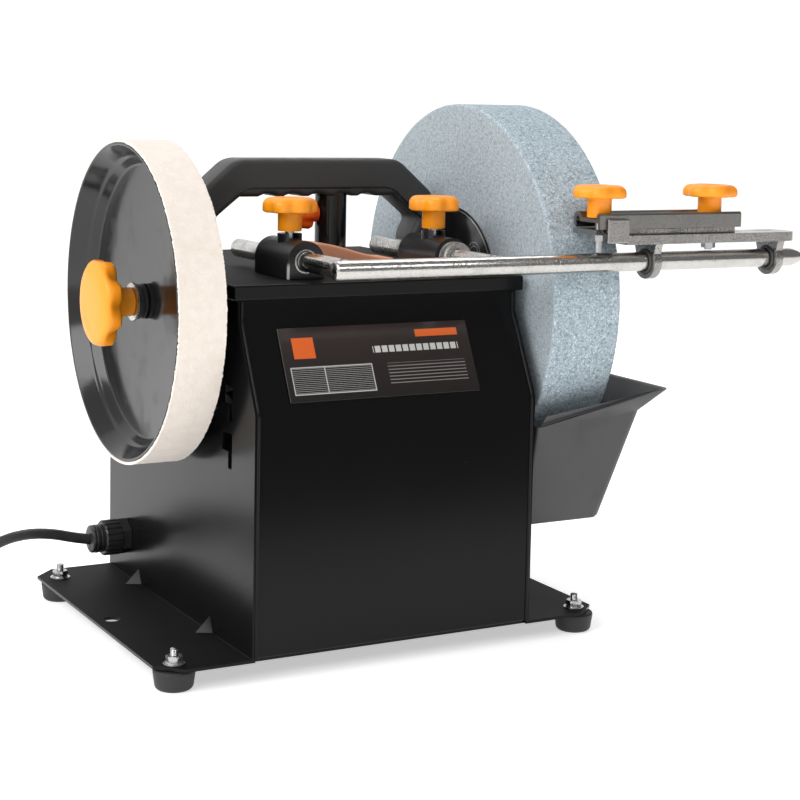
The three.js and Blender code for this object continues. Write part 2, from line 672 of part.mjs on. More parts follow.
function jigBase() {
  const shape = outline([
    [JIG.x[0], JIG.y[0]], [JIG.x[1] - 6, JIG.y[0]], [JIG.x[1], JIG.y[0] + 6],
    [JIG.x[1], JIG.y[1] - 6], [JIG.x[1] - 6, JIG.y[1]], [JIG.x[0], JIG.y[1]],
  ]);
  let body = extrudeZ(shape, JIG.z);
  body = join(body, box(JAW_X, [-140, -117], LOWER_JAW_Z));
  for (const x of JIG.eyes) {
    const span = [x - EYE.half, x + EYE.half];
    const neck = extrudeX(outline([
      [JIG.y[0], JIG.z[0] + 1], [BAR_Y - 9, BAR_Z + 4], [BAR_Y + 9, BAR_Z + 4], [JIG.y[1], JIG.z[0] + 1],
    ]), span);
    body = join(body, neck, rodX(EYE.r, span, BAR_Y, BAR_Z, 32));
  }
  for (const x of JIG.eyes) {
    body = cut(body, rodX(EYE.bore, [x - 4, x + 4], BAR_Y, BAR_Z, 32));
  }
  return cut(body, ...JIG.studs.map((x) => rodZ(2.4 + GAP, x, BAR_Y, [250, 270], 16)));
}

function eyeSleeve(x) {
  return ringX(BAR_R + GAP, EYE.bore - GAP, [x - 4, x + 4], 32, BAR_Y, BAR_Z);
}

// Pressed sheet: a folded front edge, a flat channel for the knobs and a rolled back edge.
function upperJaw() {
  const section = outline([
    [-146, 268.6], [-146, 277], [-145, 278.4], [-143.6, 278.4], [-142.6, 277], [-142.2, JAW_FLOOR_Z],
    [-125.8, JAW_FLOOR_Z], [-125.2, 276.8], [-123.4, 278.4], [-120.4, 278.4], [-118, 276.8], [-117, 273.6],
    [-117.6, 270.4], [-119.8, 268.6], [-120.8, 270.6], [-119.8, 272.4], [-120, 274.6], [-121.4, 275.9],
    [-123, 275.4], [-124, 273.4], [-124.6, 272.4], [-143.4, 272.4], [-144, 271], [-144, 268.6],
  ]);
  return cut(extrudeX(section, JAW_X), ...JIG.studs.map((x) => rodZ(2.4 + GAP, x, BAR_Y, [260, 280], 16)));
}

function jigStud(x, top) {
  const nut = rodZ(4.6, x, BAR_Y, [top - GAP - 3.6, top - GAP], 6);
  return join(nut, rodZ(2.4, x, BAR_Y, [BAR_Z + BAR_R + 0.6, 284], 16));
}

function jigKnob(x) {
  const body = starKnob(x, BAR_Y, { stem: [JAW_FLOOR_Z + GAP, 0], cap: [287.2, 295.3] }, JIG_KNOB_R, 7.6);
  return cut(body, rodZ(2.4 + GAP, x, BAR_Y, [JAW_FLOOR_Z - 1, 285], 16));
}

function stopPlate() {
  return box([126, 142], [-148.3, -146.3], [260, 275]);
}

// ---------------------------------------------------------------- water trough

function troughShell(inset, floorZ, lift) {
  const { floor, crease, rim } = TROUGH_LEVELS;
  const level = (l, z) => ({
    x: [TROUGH_X + inset, l.right - inset], y: [-l.half + inset, l.half - inset], z,
  });
  return join(
    frustum(level(floor, floorZ), level(crease, crease.z)),
    frustum(level(crease, crease.z), level(rim, rim.z)),
    frustum(level(rim, rim.z), level(rim, rim.z + lift)),
  );
}

function waterTrough() {
  const { floor, crease, rim } = TROUGH_LEVELS;
  const body = cut(troughShell(0, floor.z, 0.01), troughShell(WALL, floor.z + WALL, 5));
  const lowSide = box(
    [TROUGH_X - 1, TROUGH_X + WALL + 0.5], [-crease.half + WALL, crease.half - WALL], [143, rim.z + 9],
  );
  const hooks = [-1, 1].map((side) => {
    const head = side < 0 ? [SLOT_Y[0] + 0.5, SLOT_Y[1] - 0.5] : [-SLOT_Y[1] + 0.5, -SLOT_Y[0] - 0.5];
    const neck = side < 0 ? [head[0], head[0] + 4.5] : [head[1] - 4.5, head[1]];
    const z = [SLOT_LEVELS[0].tail + 0.6, SLOT_LEVELS[0].tail + HOOK_LIFT - 0.8];
    const back = HOUSING_HALF - SHEET - GAP;
    return join(box([back - 2.4, back], head, z), box([back - 1, TROUGH_X + 1], neck, z));
  });
  return join(cut(body, lowSide), ...hooks);
}

// ---------------------------------------------------------------- mains lead

const CORD_ROUTE = [
  [-121.6, 90, 47], [-133, 90, 49.5], [-147, 90, 53], [-162, 90.3, 54.5], [-177, 91, 52.5],
  [-190, 92.3, 46.5], [-200, 94, 37.5], [-208.5, 96, 28.5], [-216.5, 98.3, 20], [-224.5, 100.7, 13.3],
  [-231, 102.4, 10.3], [-236, 103.4, 9.4],
];
const PLUG_X = [-212, -176];
const PLUG = { y: 196, z: SOLE_Z + 18 };

function cableGland() {
  const { x, y, z, length } = GLAND;
  const nut = join(rodX(11, [x - 7, x - GAP], y, z, 6), rodX(12, [x - 18, x - 6], y, z, 24));
  const body = join(nut, rodX(9.6, [x - length, x - 17], y, z, 24));
  const thread = rodX(8, [x - 1, x + 12], y, z, 24);
  return cut(join(body, thread), rodX(CORD_R + GAP, [x - length - 1, x + 13], y, z, 20));
}

function glandNut() {
  const { x, y, z } = GLAND;
  const body = rodX(11.5, [x + SHEET + GAP, x + SHEET + 5], y, z, 6);
  return cut(body, rodX(8 + GAP, [x + SHEET, x + SHEET + 6], y, z, 24));
}

function cordCoil() {
  const { inner, outer, height } = COIL;
  const low = 0.2;
  const loop = [[inner, low], [outer, low], [outer, height], [inner, height], [inner, low]];
  const geometry = new THREE.LatheGeometry(loop.map(([r, h]) => new THREE.Vector2(r, h)), 40);
  geometry.rotateX(Math.PI / 2);
  const body = solid(geometry.translate(COIL.x, COIL.y, SOLE_Z));
  return body.volume() < 0 ? solid(flipped(geometry)) : body;
}

function mainsPlug() {
  const [back, front] = PLUG_X;
  const { y, z } = PLUG;
  const entry = COIL.x + Math.sqrt(COIL.outer ** 2 - (y - 4.8 - COIL.y) ** 2) + 1.2;
  const bend = [[entry, y, z - 7.3], [entry + 9, y, z - 6.4], [back - 8, y, z - 1.6], [back + 2, y, z]];
  const boot = sweep(bend, 4.8, 6);
  const body = turnedX([
    [back, 0], [back, 11], [back + 8, 15], [back + 20, 17.5], [front - 1, 17.5], [front, 16.5], [front, 0],
  ], 32, y, z);
  const pins = [-9.5, 9.5].map((offset) => rodX(2.4, [front - 2, front + 19], y + offset, z, 16));
  return join(body, boot, ...pins);
}

// ---------------------------------------------------------------- nodes

function add(parent, name, look, manifold) {
  const mesh = new THREE.Mesh(geometryOf(manifold), new THREE.MeshStandardMaterial(look));
  mesh.name = name;
  parent.add(mesh);
}

const leftPanel = cut(
  sidePanel(-1),
  rodX(14, [-HOUSING_HALF - 1, -HOUSING_HALF + SHEET + 1], 0, MOTOR_Z + 2, 28),
  rodX(8 + GAP, [-HOUSING_HALF - 1, -HOUSING_HALF + SHEET + 1], GLAND.y, GLAND.z, 24),
);
add(housing, 'side_panel_left', PAINT, leftPanel);
add(housing, 'side_panel_right', PAINT, sidePanel(1));
add(housing, 'front_panel', PAINT, frontPanel());
add(housing, 'rear_panel', PAINT, rearPanel());
add(housing, 'bottom_plate', PAINT, bottomPlate());
add(housing, 'top_cover', PAINT, topCover());
add(housing, 'rating_label', PAPER, labelPlate());
add(housing, 'carry_handle', PLASTIC, carryHandle());
add(housing, 'handle_post', GLOSS_PLASTIC, handlePost());
add(housing, 'post_knob', ORANGE, postKnob());
add(housing, 'cover_pad', SALMON, coverPad());

const FOOT_SPOTS = FOOT_Y.flatMap((y) => [[-FOOT_X, y], [FOOT_X, y]]);
FOOT_SPOTS.forEach(([x, y], i) => add(housing, `rubber_foot_${i + 1}`, RUBBER, rubberFoot(x, y)));

add(wheels, 'main_shaft', STEEL, mainShaft());
add(wheels, 'shaft_bush_left', PLASTIC, shaftBush(-1));
add(wheels, 'shaft_bush_right', PLASTIC, shaftBush(1));
add(wheels, 'grinding_stone', STONE, grindingStone());
add(wheels, 'stone_blotter', GLOSS_PLASTIC, ringX(BORE_R, 56, [102.5, 103.3], 40));
add(wheels, 'stone_flange_inner', STEEL, ringX(BORE_R, 30, [99.4, 102.2], 32));
add(wheels, 'stone_flange_outer', STEEL, ringX(BORE_R, 30, [153.9, 158.2], 32));
add(wheels, 'stone_nut', STEEL, stoneNut());
add(wheels, 'strop_wheel', GLOSS_PLASTIC, stropWheel());
add(wheels, 'strop_leather', LEATHER_TAN, stropLeather());
add(wheels, 'drive_tyre', RUBBER, driveTyre());
add(wheels, 'strop_collar', PLASTIC, stropCollar());
add(wheels, 'strop_washer', CHROME, stropWasher());
add(wheels, 'strop_knob', ORANGE, stropKnob());

add(drive, 'motor_body', CAST, motorBody());
add(drive, 'motor_shaft', STEEL, motorShaft());
add(drive, 'motor_fan', PLASTIC, motorFan());
add(drive, 'motor_cradle', STEEL, motorCradle());
add(drive, 'pivot_pin', STEEL, pivotPin());
add(drive, 'tension_spring', STEEL, tensionSpring());
add(drive, 'capacitor', ALUMINIUM, capacitor());
add(drive, 'terminal_block', PAPER, terminalBlock());
add(drive, 'switch_body', PLASTIC, switchBody());
add(drive, 'switch_rocker', GLOSS_PLASTIC, switchRocker());

for (const place of BRACKETS) {
  add(support, `${place.name}_bracket`, CAST, bracket(place));
  add(support, `${place.name}_clamp_knob`, ORANGE, clampKnob(place));
}
add(support, 'support_bar', CHROME, supportBar());
add(support, 'adjust_nut', CHROME, adjustNut());

add(jig, 'jig_base', CHROME, jigBase());
JIG.eyes.forEach((x, i) => add(jig, `eye_sleeve_${i + 1}`, PLASTIC, eyeSleeve(x)));
add(jig, 'jig_upper_jaw', ALUMINIUM, upperJaw());
add(jig, 'jig_stop_plate', CHROME, stopPlate());
const STUD_SEATS = [LOWER_JAW_Z[0], JIG.z[0]];
JIG.studs.forEach((x, i) => {
  add(jig, `jig_stud_${i + 1}`, STEEL, jigStud(x, STUD_SEATS[i]));
  add(jig, `jig_knob_${i + 1}`, ORANGE, jigKnob(x));
});

add(support, 'water_trough', TROUGH_GREY, waterTrough());

add(lead, 'cable_gland', PLASTIC, cableGland());
add(lead, 'gland_nut', PLASTIC, glandNut());
add(lead, 'mains_cord', RUBBER, sweep(CORD_ROUTE, CORD_R, 12));
add(lead, 'cord_coil', RUBBER, cordCoil());
add(lead, 'mains_plug', PLASTIC, mainsPlug());

// ---------------------------------------------------------------- place the machine on its origin

const span = { x: [KNOB_FACE_X, BAR_X[1]], y: [BAR_Y - JIG_KNOB_R, TROUGH_LEVELS.rim.half] };
machine.position.set(-(span.x[0] + span.x[1]) / 2, -(span.y[0] + span.y[1]) / 2, -SOLE_Z);
machine.updateMatrixWorld(true);

export default machine;
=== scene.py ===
import json
import math

import bmesh
import bpy
import numpy as np
from mathutils import Matrix, Vector

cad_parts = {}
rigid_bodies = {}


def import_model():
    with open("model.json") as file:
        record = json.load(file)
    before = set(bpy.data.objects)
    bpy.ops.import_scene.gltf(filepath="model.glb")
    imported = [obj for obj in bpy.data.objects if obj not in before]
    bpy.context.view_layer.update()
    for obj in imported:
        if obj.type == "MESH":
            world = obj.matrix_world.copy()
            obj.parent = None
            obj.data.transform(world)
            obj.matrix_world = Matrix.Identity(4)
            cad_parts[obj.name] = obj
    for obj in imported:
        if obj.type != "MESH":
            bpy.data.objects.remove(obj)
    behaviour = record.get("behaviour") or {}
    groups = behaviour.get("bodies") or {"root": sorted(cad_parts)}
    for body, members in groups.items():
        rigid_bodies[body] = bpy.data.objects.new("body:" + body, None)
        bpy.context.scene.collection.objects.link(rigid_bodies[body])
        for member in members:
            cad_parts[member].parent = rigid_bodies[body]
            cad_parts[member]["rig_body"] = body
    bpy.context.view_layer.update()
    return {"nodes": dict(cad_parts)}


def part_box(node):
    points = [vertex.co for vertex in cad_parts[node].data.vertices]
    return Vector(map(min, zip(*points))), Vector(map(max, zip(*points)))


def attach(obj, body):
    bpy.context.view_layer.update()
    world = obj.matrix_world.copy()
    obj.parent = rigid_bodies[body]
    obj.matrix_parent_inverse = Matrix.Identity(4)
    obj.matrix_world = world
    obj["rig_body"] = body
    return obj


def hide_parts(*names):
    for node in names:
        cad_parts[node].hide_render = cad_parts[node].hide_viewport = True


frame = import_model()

# Wet grinding sharpener. Shapes are laid out in millimetres about the middle of the housing and the shaft
# line: +X along the shaft to the stone, +Y to the back, +Z up. placed() turns them into the frame's metres.


def node_box(name):
    """A CAD node's lowest and highest corners as one array, in the frame's metres."""
    return np.array([list(corner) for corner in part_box(name)])


HOUSING_MIDDLE = node_box("front_panel").mean(0)[0]
SHAFT_LINE = node_box("grinding_stone").mean(0)
SHAFT_Z = 217.4
LAYOUT_ORIGIN = np.array([HOUSING_MIDDLE, SHAFT_LINE[1], SHAFT_LINE[2] - SHAFT_Z / 1000])


def placed(points):
    """Layout millimetres to frame metres: divided by 1000 and moved by the layout's origin."""
    return np.asarray(points, float) / 1000 + LAYOUT_ORIGIN


SOLE_Z = 5.5
HOUSING_HALF = 95
FRONT_Y = -119
FLANGE_Z = 20
COVER_TOP_Z = 236.3
COVER_LIP_Z = 227
CREASE_Z = 163.7
SLOPE_TOP = (-93, 214.5)
STONE_R = 125
STONE_X = (103.6, 153.6)
STROP_X = (-134.5, -104.5)
STROP_R = 100
BAR_Y = -134
BAR_Z = 247
BAR_X = (-54, 289.5)
BAR_R = 6
LEG_X = (-44, 57)
LEG_BACK_Y = 24
BRACKET_Y = (-77, -29)
BRACKET_HALF = 12.2
KNOB_Y = -53
FOOT_SPOTS = [(x, y) for y in (-105.5, 101) for x in (-138, 138)]
STUD_X = (128.5, 214)
EYE_X = (167, 264.8)
CORD_R = 3.5
GLAND_YZ = (90, 47)
COIL_CENTRE = (-262, 150)
COIL_RADII = (46, 39, 32)
COIL_HEIGHTS = (SOLE_Z + 3.7, SOLE_Z + 10.8)

# ------------------------------------------------------------------ camera

CAMERA_PLACE = (-520.5, -1066.1, 349.7)
CAMERA_TURN, CAMERA_DIP, CAMERA_ROLL = (math.radians(a) for a in (-29.42, 6.0, 1.26))
CAMERA_LENS = 82.44
CAMERA_SHIFT = (-0.0296, -0.1438)


def make_camera():
    """A long lens that stands before the machine's left corner and looks slightly down."""
    ahead = Vector((
        -math.sin(CAMERA_TURN) * math.cos(CAMERA_DIP),
        math.cos(CAMERA_TURN) * math.cos(CAMERA_DIP),
        -math.sin(CAMERA_DIP),
    ))
    right = Vector((math.cos(CAMERA_TURN), math.sin(CAMERA_TURN), 0))
    up = right.cross(ahead)
    across = right * math.cos(CAMERA_ROLL) + up * math.sin(CAMERA_ROLL)
    upward = up * math.cos(CAMERA_ROLL) - right * math.sin(CAMERA_ROLL)
    camera = bpy.data.objects.new("camera", bpy.data.cameras.new("camera"))
    camera.matrix_world = Matrix.Translation(Vector(placed(CAMERA_PLACE))) @ Matrix(
        (across, upward, -ahead)
    ).transposed().to_4x4()
    camera.data.lens = CAMERA_LENS
    camera.data.shift_x, camera.data.shift_y = CAMERA_SHIFT
    bpy.context.collection.objects.link(camera)
    bpy.context.scene.camera = camera


make_camera()

# ------------------------------------------------------------------ shader writing


class Signal:
    """A shader socket that arithmetic can be written on."""

    def __init__(self, finish, socket):
        self.finish = finish
        self.socket = socket

    def maths(self, operation, other, swapped=False):
        pair = (other, self) if swapped else (self, other)
        return self.finish.add("ShaderNodeMath", {"operation": operation}, dict(enumerate(pair)))

    def __add__(self, other):
        return self.maths("ADD", other)

    def __radd__(self, other):
        return self.maths("ADD", other, True)

    def __sub__(self, other):
        return self.maths("SUBTRACT", other)

    def __rsub__(self, other):
        return self.maths("SUBTRACT", other, True)

    def __mul__(self, other):
        return self.maths("MULTIPLY", other)

    def __rmul__(self, other):
        return self.maths("MULTIPLY", other, True)

    def __gt__(self, other):
        return self.maths("GREATER_THAN", other)

    def __lt__(self, other):
        return self.maths("LESS_THAN", other)

    def most(self, other):
        return self.maths("MAXIMUM", other)


class Finish:
    """One procedural material, whose patterns lie in metres of the machine's frame."""

    def __init__(self, name):
        self.material = bpy.data.materials.new(name)
        self.material.use_nodes = True
        self.tree = self.material.node_tree
        self.tree.nodes.clear()
        self.place = self.add("ShaderNodeTexCoord", output="Object")

    def add(self, kind, settings=None, inputs=None, output=0):
        """Adds a node: its settings first, then its sockets' values or links. Returns one of its outputs."""
        node = self.tree.nodes.new(kind)
        for key, value in (settings or {}).items():
            setattr(node, key, value)
        for key, value in (inputs or {}).items():
            if isinstance(value, Signal):
                self.tree.links.new(value.socket, node.inputs[key])
            else:
                node.inputs[key].default_value = value
        return Signal(self, node.outputs[output]) if node.outputs else None

    def axis(self, name):
        """One coordinate of the frame, in metres."""
        return self.add("ShaderNodeSeparateXYZ", inputs={0: self.place}, output=name)

    def stretched(self, scale):
        """The coordinates with each axis scaled, to draw a grain out along one of them."""
        return self.add("ShaderNodeMapping", inputs={"Vector": self.place, "Scale": scale})

    def noise(self, scale, detail=3.0, rough=0.55, vector=None):
        inputs = {"Vector": vector or self.place, "Scale": scale, "Detail": detail, "Roughness": rough}
        return self.add("ShaderNodeTexNoise", inputs=inputs)

    def cells(self, scale, vector=None):
        """Distance to the nearest of many scattered points."""
        return self.add("ShaderNodeTexVoronoi", inputs={"Vector": vector or self.place, "Scale": scale})

    def ramp(self, signal, low, high):
        """0 below low, 1 above high, and smooth between them."""
        settings = {"interpolation_type": "SMOOTHSTEP"}
        inputs = {"Value": signal, "From Min": low, "From Max": high}
        return self.add("ShaderNodeMapRange", settings, inputs)

    def share(self, signal, low, high):
        """0 at low and 1 at high, straight between them."""
        return self.add("ShaderNodeMapRange", None, {"Value": signal, "From Min": low, "From Max": high})

    def between(self, signal, low, high):
        """From low to high as the signal goes from 0 to 1."""
        return self.add("ShaderNodeMapRange", None, {"Value": signal, "To Min": low, "To Max": high})

    def blend(self, factor, first, second):
        """The first colour where the factor is 0 and the second where it is 1."""
        colours = [c if isinstance(c, Signal) else (*c, 1) for c in (first, second)]
        return self.add(
            "ShaderNodeMix", {"data_type": "RGBA"}, {0: factor, 6: colours[0], 7: colours[1]}, output=2
        )

    def bump(self, height, depth, strength=1.0, under=None):
        """A bump of that depth in metres."""
        inputs = {"Height": height, "Distance": depth, "Strength": strength}
        if under is not None:
            inputs["Normal"] = under
        return self.add("ShaderNodeBump", None, inputs)

    def close(self, colour, roughness, normal=None, **constants):
        """Ends the material in one Principled shader. Constants are named with underscores for spaces."""
        inputs = {"Base Color": colour if isinstance(colour, Signal) else (*colour, 1)}
        inputs["Roughness"] = roughness
        if normal is not None:
            inputs["Normal"] = normal
        inputs.update({key.replace("_", " "): value for key, value in constants.items()})
        shader = self.add("ShaderNodeBsdfPrincipled", None, inputs)
        self.add("ShaderNodeOutputMaterial", None, {"Surface": shader})
        return self.material


def coated_steel():
    """Black powder coat: orange peel, a haze, fine pale scuffs, and a duller bloom where it faces up."""
    f = Finish("black_powder_coat")
    peel = f.noise(850, 2)
    haze = f.noise(9, 3)
    scuff = f.ramp(f.noise(60, 6, 0.7, f.stretched((1, 1, 7))), 0.66, 0.78)
    facing = f.add("ShaderNodeNewGeometry", output="Normal")
    level = f.ramp(f.add("ShaderNodeSeparateXYZ", inputs={0: facing}, output="Z"), 0.85, 0.98)
    colour = f.blend(scuff * 0.35, (0.004, 0.004, 0.0043), (0.03, 0.03, 0.031))
    rough = f.between(haze, 0.16, 0.3) + scuff * 0.15 + level * 0.42
    return f.close(colour, rough, f.bump(peel, 0.00004, 0.35), Specular_IOR_Level=0.17)


def cast_paint():
    """Black enamel over a casting: a soft grain, pale spots, and bare metal on the left one's edge."""
    f = Finish("black_casting_enamel")
    grain = f.noise(420, 4, 0.6)
    worn = f.ramp(f.noise(95, 5, 0.65), 0.64, 0.74)
    edge = placed((LEG_X[0] - BRACKET_HALF, BRACKET_Y[0], BAR_Z - 4))
    outer, inner = 0.0016, 0.0009
    near_x = f.ramp(f.axis("X"), edge[0] + outer, edge[0] + inner)
    near_y = f.ramp(f.axis("Y"), edge[1] + outer, edge[1] + inner)
    below = f.ramp(f.axis("Z"), edge[2] + 0.004, edge[2])
    bare = near_x * near_y * below * f.ramp(f.noise(260, 4, 0.7), 0.3, 0.45)
    colour = f.blend(bare, f.blend(worn, (0.009, 0.009, 0.01), (0.035, 0.035, 0.037)), (0.6, 0.58, 0.54))
    return f.close(colour, f.between(grain, 0.2, 0.42), f.bump(grain, 0.00012, 0.5))


def chrome(name, tint, low, high, pits=0.0):
    """Plated steel: hairlines drawn round and along it, water marks, and pits where pits is above 0."""
    f = Finish(name)
    hair = f.noise(900, 3, 0.6, f.stretched((0.05, 1, 1)))
    marks = f.ramp(f.noise(70, 5, 0.6), 0.45, 0.7)
    speck = f.ramp(f.noise(1100, 4, 0.7), 0.52, 0.66)
    dull = tuple(c * 0.55 for c in tint)
    colour = f.blend(speck * pits, f.blend(marks * 0.25, tint, dull), (0.08, 0.075, 0.07))
    rough = f.between(marks, low, high) + speck * (0.35 * pits)
    normal = f.bump(speck, 0.00012, pits, f.bump(hair, 0.00002, 0.15))
    return f.close(colour, rough, normal, Metallic=1.0)


def moulded(name, dark, light, low, high, grain_scale=900, grain_depth=0.00005, coat=0.0):
    """Moulded plastic: a spark-eroded grain, cloudy colour and fingermarks in the gloss."""
    f = Finish(name)
    grain = f.noise(grain_scale, 3, 0.6)
    cloud = f.noise(22, 3)
    finger = f.ramp(f.noise(55, 4), 0.5, 0.72)
    colour = f.blend(cloud, dark, light)
    rough = f.between(finger, low, high) + grain * 0.06
    normal = f.bump(grain, grain_depth, 0.4)
    return f.close(colour, rough, normal, Coat_Weight=coat, Coat_Roughness=0.08)


def grit_stone():
    """Bonded grit: three sizes of pale and dark grain, open pores, and soft blotches of damp."""
    f = Finish("blue_grey_grit")
    fine = f.noise(900, 4, 0.8)
    coarse = f.noise(430, 4, 0.75)
    blotch = f.noise(14, 4, 0.6)
    pores = f.ramp(f.cells(560), 0.17, 0.02)
    body = f.blend(f.ramp(blotch, 0.3, 0.7), (0.33, 0.415, 0.47), (0.39, 0.475, 0.53))
    pale = f.blend(f.ramp(fine, 0.5, 0.62), body, (0.78, 0.84, 0.87))
    dark = f.blend(f.ramp(coarse, 0.5, 0.62) * 0.85, pale, (0.2, 0.26, 0.3))
    # The left flat face is blended half way to a flat grey, darker and less speckled than the rim: painted
    # shade.
    face = f.ramp(f.axis("X"), placed((STONE_X[0] + 1.2, 0, 0))[0], placed((STONE_X[0] - 0.4, 0, 0))[0])
    shade_greyed_grit = f.blend(face * 0.5, f.blend(pores * 0.6, dark, (0.12, 0.16, 0.19)), (0.34, 0.36, 0.37))
    relief = fine * 0.6 + coarse * 0.4 - pores * 0.5
    return f.close(shade_greyed_grit, f.between(fine, 0.82, 0.97), f.bump(relief, 0.0003, 0.7))


def napped_leather():
    """Cream leather with its nap up: fibres, faint creases and a few darker flecks."""
    f = Finish("cream_leather_nap")
    fibre = f.noise(1300, 6, 0.75, f.stretched((1, 0.6, 0.6)))
    crease = f.noise(160, 5, 0.65)
    fleck = f.ramp(f.noise(330, 4, 0.6), 0.66, 0.76)
    base = f.blend(f.ramp(crease, 0.3, 0.7), (0.87, 0.775, 0.69), (0.92, 0.84, 0.765))
    colour = f.blend(fleck * 0.22, f.blend(fibre * 0.2, base, (0.72, 0.6, 0.49)), (0.58, 0.46, 0.35))
    normal = f.bump(fibre + crease * 0.8, 0.0006, 0.6)
    return f.close(colour, f.between(fibre, 0.85, 1.0), normal, Sheen_Weight=0.35, Sheen_Roughness=0.5)


def soft_rubber(name, tone, low=0.5, high=0.75):
    """Black rubber or cord jacket with bloom on it and a faint drawn grain."""
    f = Finish(name)
    bloom = f.ramp(f.noise(60, 5, 0.6), 0.4, 0.75)
    grain = f.noise(1400, 3)
    colour = f.blend(bloom * 0.5, (tone, tone, tone * 1.03), (tone * 2.4, tone * 2.4, tone * 2.4))
    return f.close(colour, f.between(bloom, low, high), f.bump(grain, 0.00006, 0.5))


def printed_label():
    """A glossy dark sticker: a heading bar, a warm accent and an empty ruled table, drawn as plain shapes."""
    f = Finish("printed_label")
    low, high = node_box("rating_label")
    across = f.share(f.axis("X"), low[0], high[0])
    up = f.share(f.axis("Z"), low[2], high[2])

    def band(signal, start, end):
        return (signal > start) * (signal < end)

    def patch(x, z):
        return band(across, *x) * band(up, *z)

    table = patch((0.03, 0.45), (0.1, 0.47))
    rules = table * ((up * 40.5).maths("FRACT", 0) < 0.16).most(band(across, 0.2, 0.205))
    frame_line = table - patch((0.035, 0.445), (0.115, 0.455))
    heading = patch((0.47, 0.93), (0.61, 0.70)) * ((across * 27).maths("FRACT", 0) < 0.78)
    accent = patch((0.71, 0.94), (0.80, 0.90)).most(patch((0.06, 0.17), (0.58, 0.86)))
    fine = patch((0.53, 0.95), (0.16, 0.46)) * ((up * 22).maths("FRACT", 0) < 0.3)
    ground = f.blend(up, (0.012, 0.009, 0.009), (0.03, 0.021, 0.019))
    lined = f.blend(rules.most(frame_line) * 0.75, ground, (0.6, 0.6, 0.58))
    headed = f.blend(heading * 0.85, f.blend(fine * 0.28, lined, (0.6, 0.58, 0.55)), (0.62, 0.62, 0.6))
    colour = f.blend(accent * 0.9, headed, (0.75, 0.13, 0.02))
    return f.close(colour, f.between(f.noise(30, 3), 0.1, 0.2), f.bump(f.noise(400, 2), 0.00003, 0.3))


ORANGE_LIGHT, ORANGE_DARK = (1.0, 0.36, 0.008), (0.97, 0.285, 0.003)

FINISHES = {
    "coat": coated_steel(),
    "casting": cast_paint(),
    "chrome": chrome("polished_chrome", (0.56, 0.545, 0.52), 0.1, 0.24, 0.3),
    "jaw": chrome("dull_plated_jaw", (0.27, 0.26, 0.245), 0.28, 0.46, 0.5),
    "jaw_plate": chrome("dull_plated_plate", (0.37, 0.355, 0.34), 0.2, 0.36, 0.7),
    "galvanised": chrome("pitted_zinc", (0.52, 0.51, 0.49), 0.22, 0.42, 0.9),
    "steel": chrome("turned_steel", (0.5, 0.5, 0.5), 0.22, 0.42, 0.25),
    "alloy": chrome("brushed_alloy", (0.62, 0.61, 0.6), 0.24, 0.4, 0.15),
    "orange": moulded("orange_nylon", ORANGE_DARK, ORANGE_LIGHT, 0.38, 0.52),
    # A darker, redder copy of the orange nylon for the small knob by the post: painted shade, as that knob
    # sits in shadow behind the handle.
    "deep_orange": moulded("shade_darkened_orange_nylon", (0.8, 0.075, 0.003), (0.9, 0.12, 0.005), 0.38, 0.52),
    "handle": moulded(
        "grained_handle", (0.026, 0.026, 0.026), (0.042, 0.042, 0.041), 0.42, 0.6, 1500, 0.00012
    ),
    "gloss": moulded(
        "gloss_black_abs", (0.005, 0.005, 0.005), (0.009, 0.009, 0.009), 0.1, 0.22, 500, 0.00002
    ),
    "trough": moulded("trough_grey", (0.037, 0.037, 0.038), (0.052, 0.052, 0.053), 0.42, 0.56, 1200, 0.00008),
    "nylon": moulded("black_nylon", (0.014, 0.014, 0.014), (0.024, 0.024, 0.024), 0.3, 0.48),
    "salmon": moulded("salmon_plastic", (0.78, 0.3, 0.155), (0.92, 0.45, 0.27), 0.4, 0.55),
    "block": moulded("white_terminal", (0.62, 0.61, 0.57), (0.72, 0.71, 0.68), 0.4, 0.55),
    "stone": grit_stone(),
    "leather": napped_leather(),
    "rubber": soft_rubber("black_rubber", 0.012),
    "cord": soft_rubber("cord_jacket", 0.02, 0.34, 0.5),
    "label": printed_label(),
}

# ------------------------------------------------------------------ meshes


def make_piece(name, verts, faces, finish, body, slot, stands_for=(), sharp=40.0):
    """A named piece from layout millimetres. Faces are lists of vertex numbers, and sharp is in degrees."""
    mesh = bpy.data.meshes.new(name)
    mesh.from_pydata(placed(verts).tolist(), [], [list(face) for face in faces])
    mesh.validate()
    return finish_piece(name, mesh, finish, body, stands_for, sharp)


def finish_piece(name, mesh, finish, body, stands_for, sharp):
    mesh.materials.clear()
    mesh.materials.append(FINISHES[finish])
    mesh.polygons.foreach_set("material_index", np.zeros(len(mesh.polygons), np.int32))
    mesh.shade_smooth()
    mesh.set_sharp_from_angle(angle=math.radians(sharp))
    piece = bpy.data.objects.new(name, mesh)
    bpy.context.collection.objects.link(piece)
    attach(piece, body)
    if stands_for:
        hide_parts(*stands_for)
    return piece


def grid_faces(rows, columns, wrap_rows=False):
    """Quads over a grid of rows that each close on themselves."""
    row = np.arange(rows if wrap_rows else rows - 1)[:, None]
    column = np.arange(columns)[None, :]
    near, far = row * columns, (row + 1) % rows * columns
    beside = (column + 1) % columns
    corners = [near + column, near + beside, far + beside, far + column]
    return np.stack(corners, -1).reshape(-1, 4)


def loft(rings, closed=False):
    """Vertices and faces of stacked rings (rows, columns, 3): ends capped, or joined where closed."""
    rings = np.asarray(rings, float)
    rows, columns = rings.shape[:2]
    faces = grid_faces(rows, columns, closed).tolist()
    if not closed:
        faces.append(list(range(columns))[::-1])
        faces.append(list(range((rows - 1) * columns, rows * columns)))
    return rings.reshape(-1, 3), faces


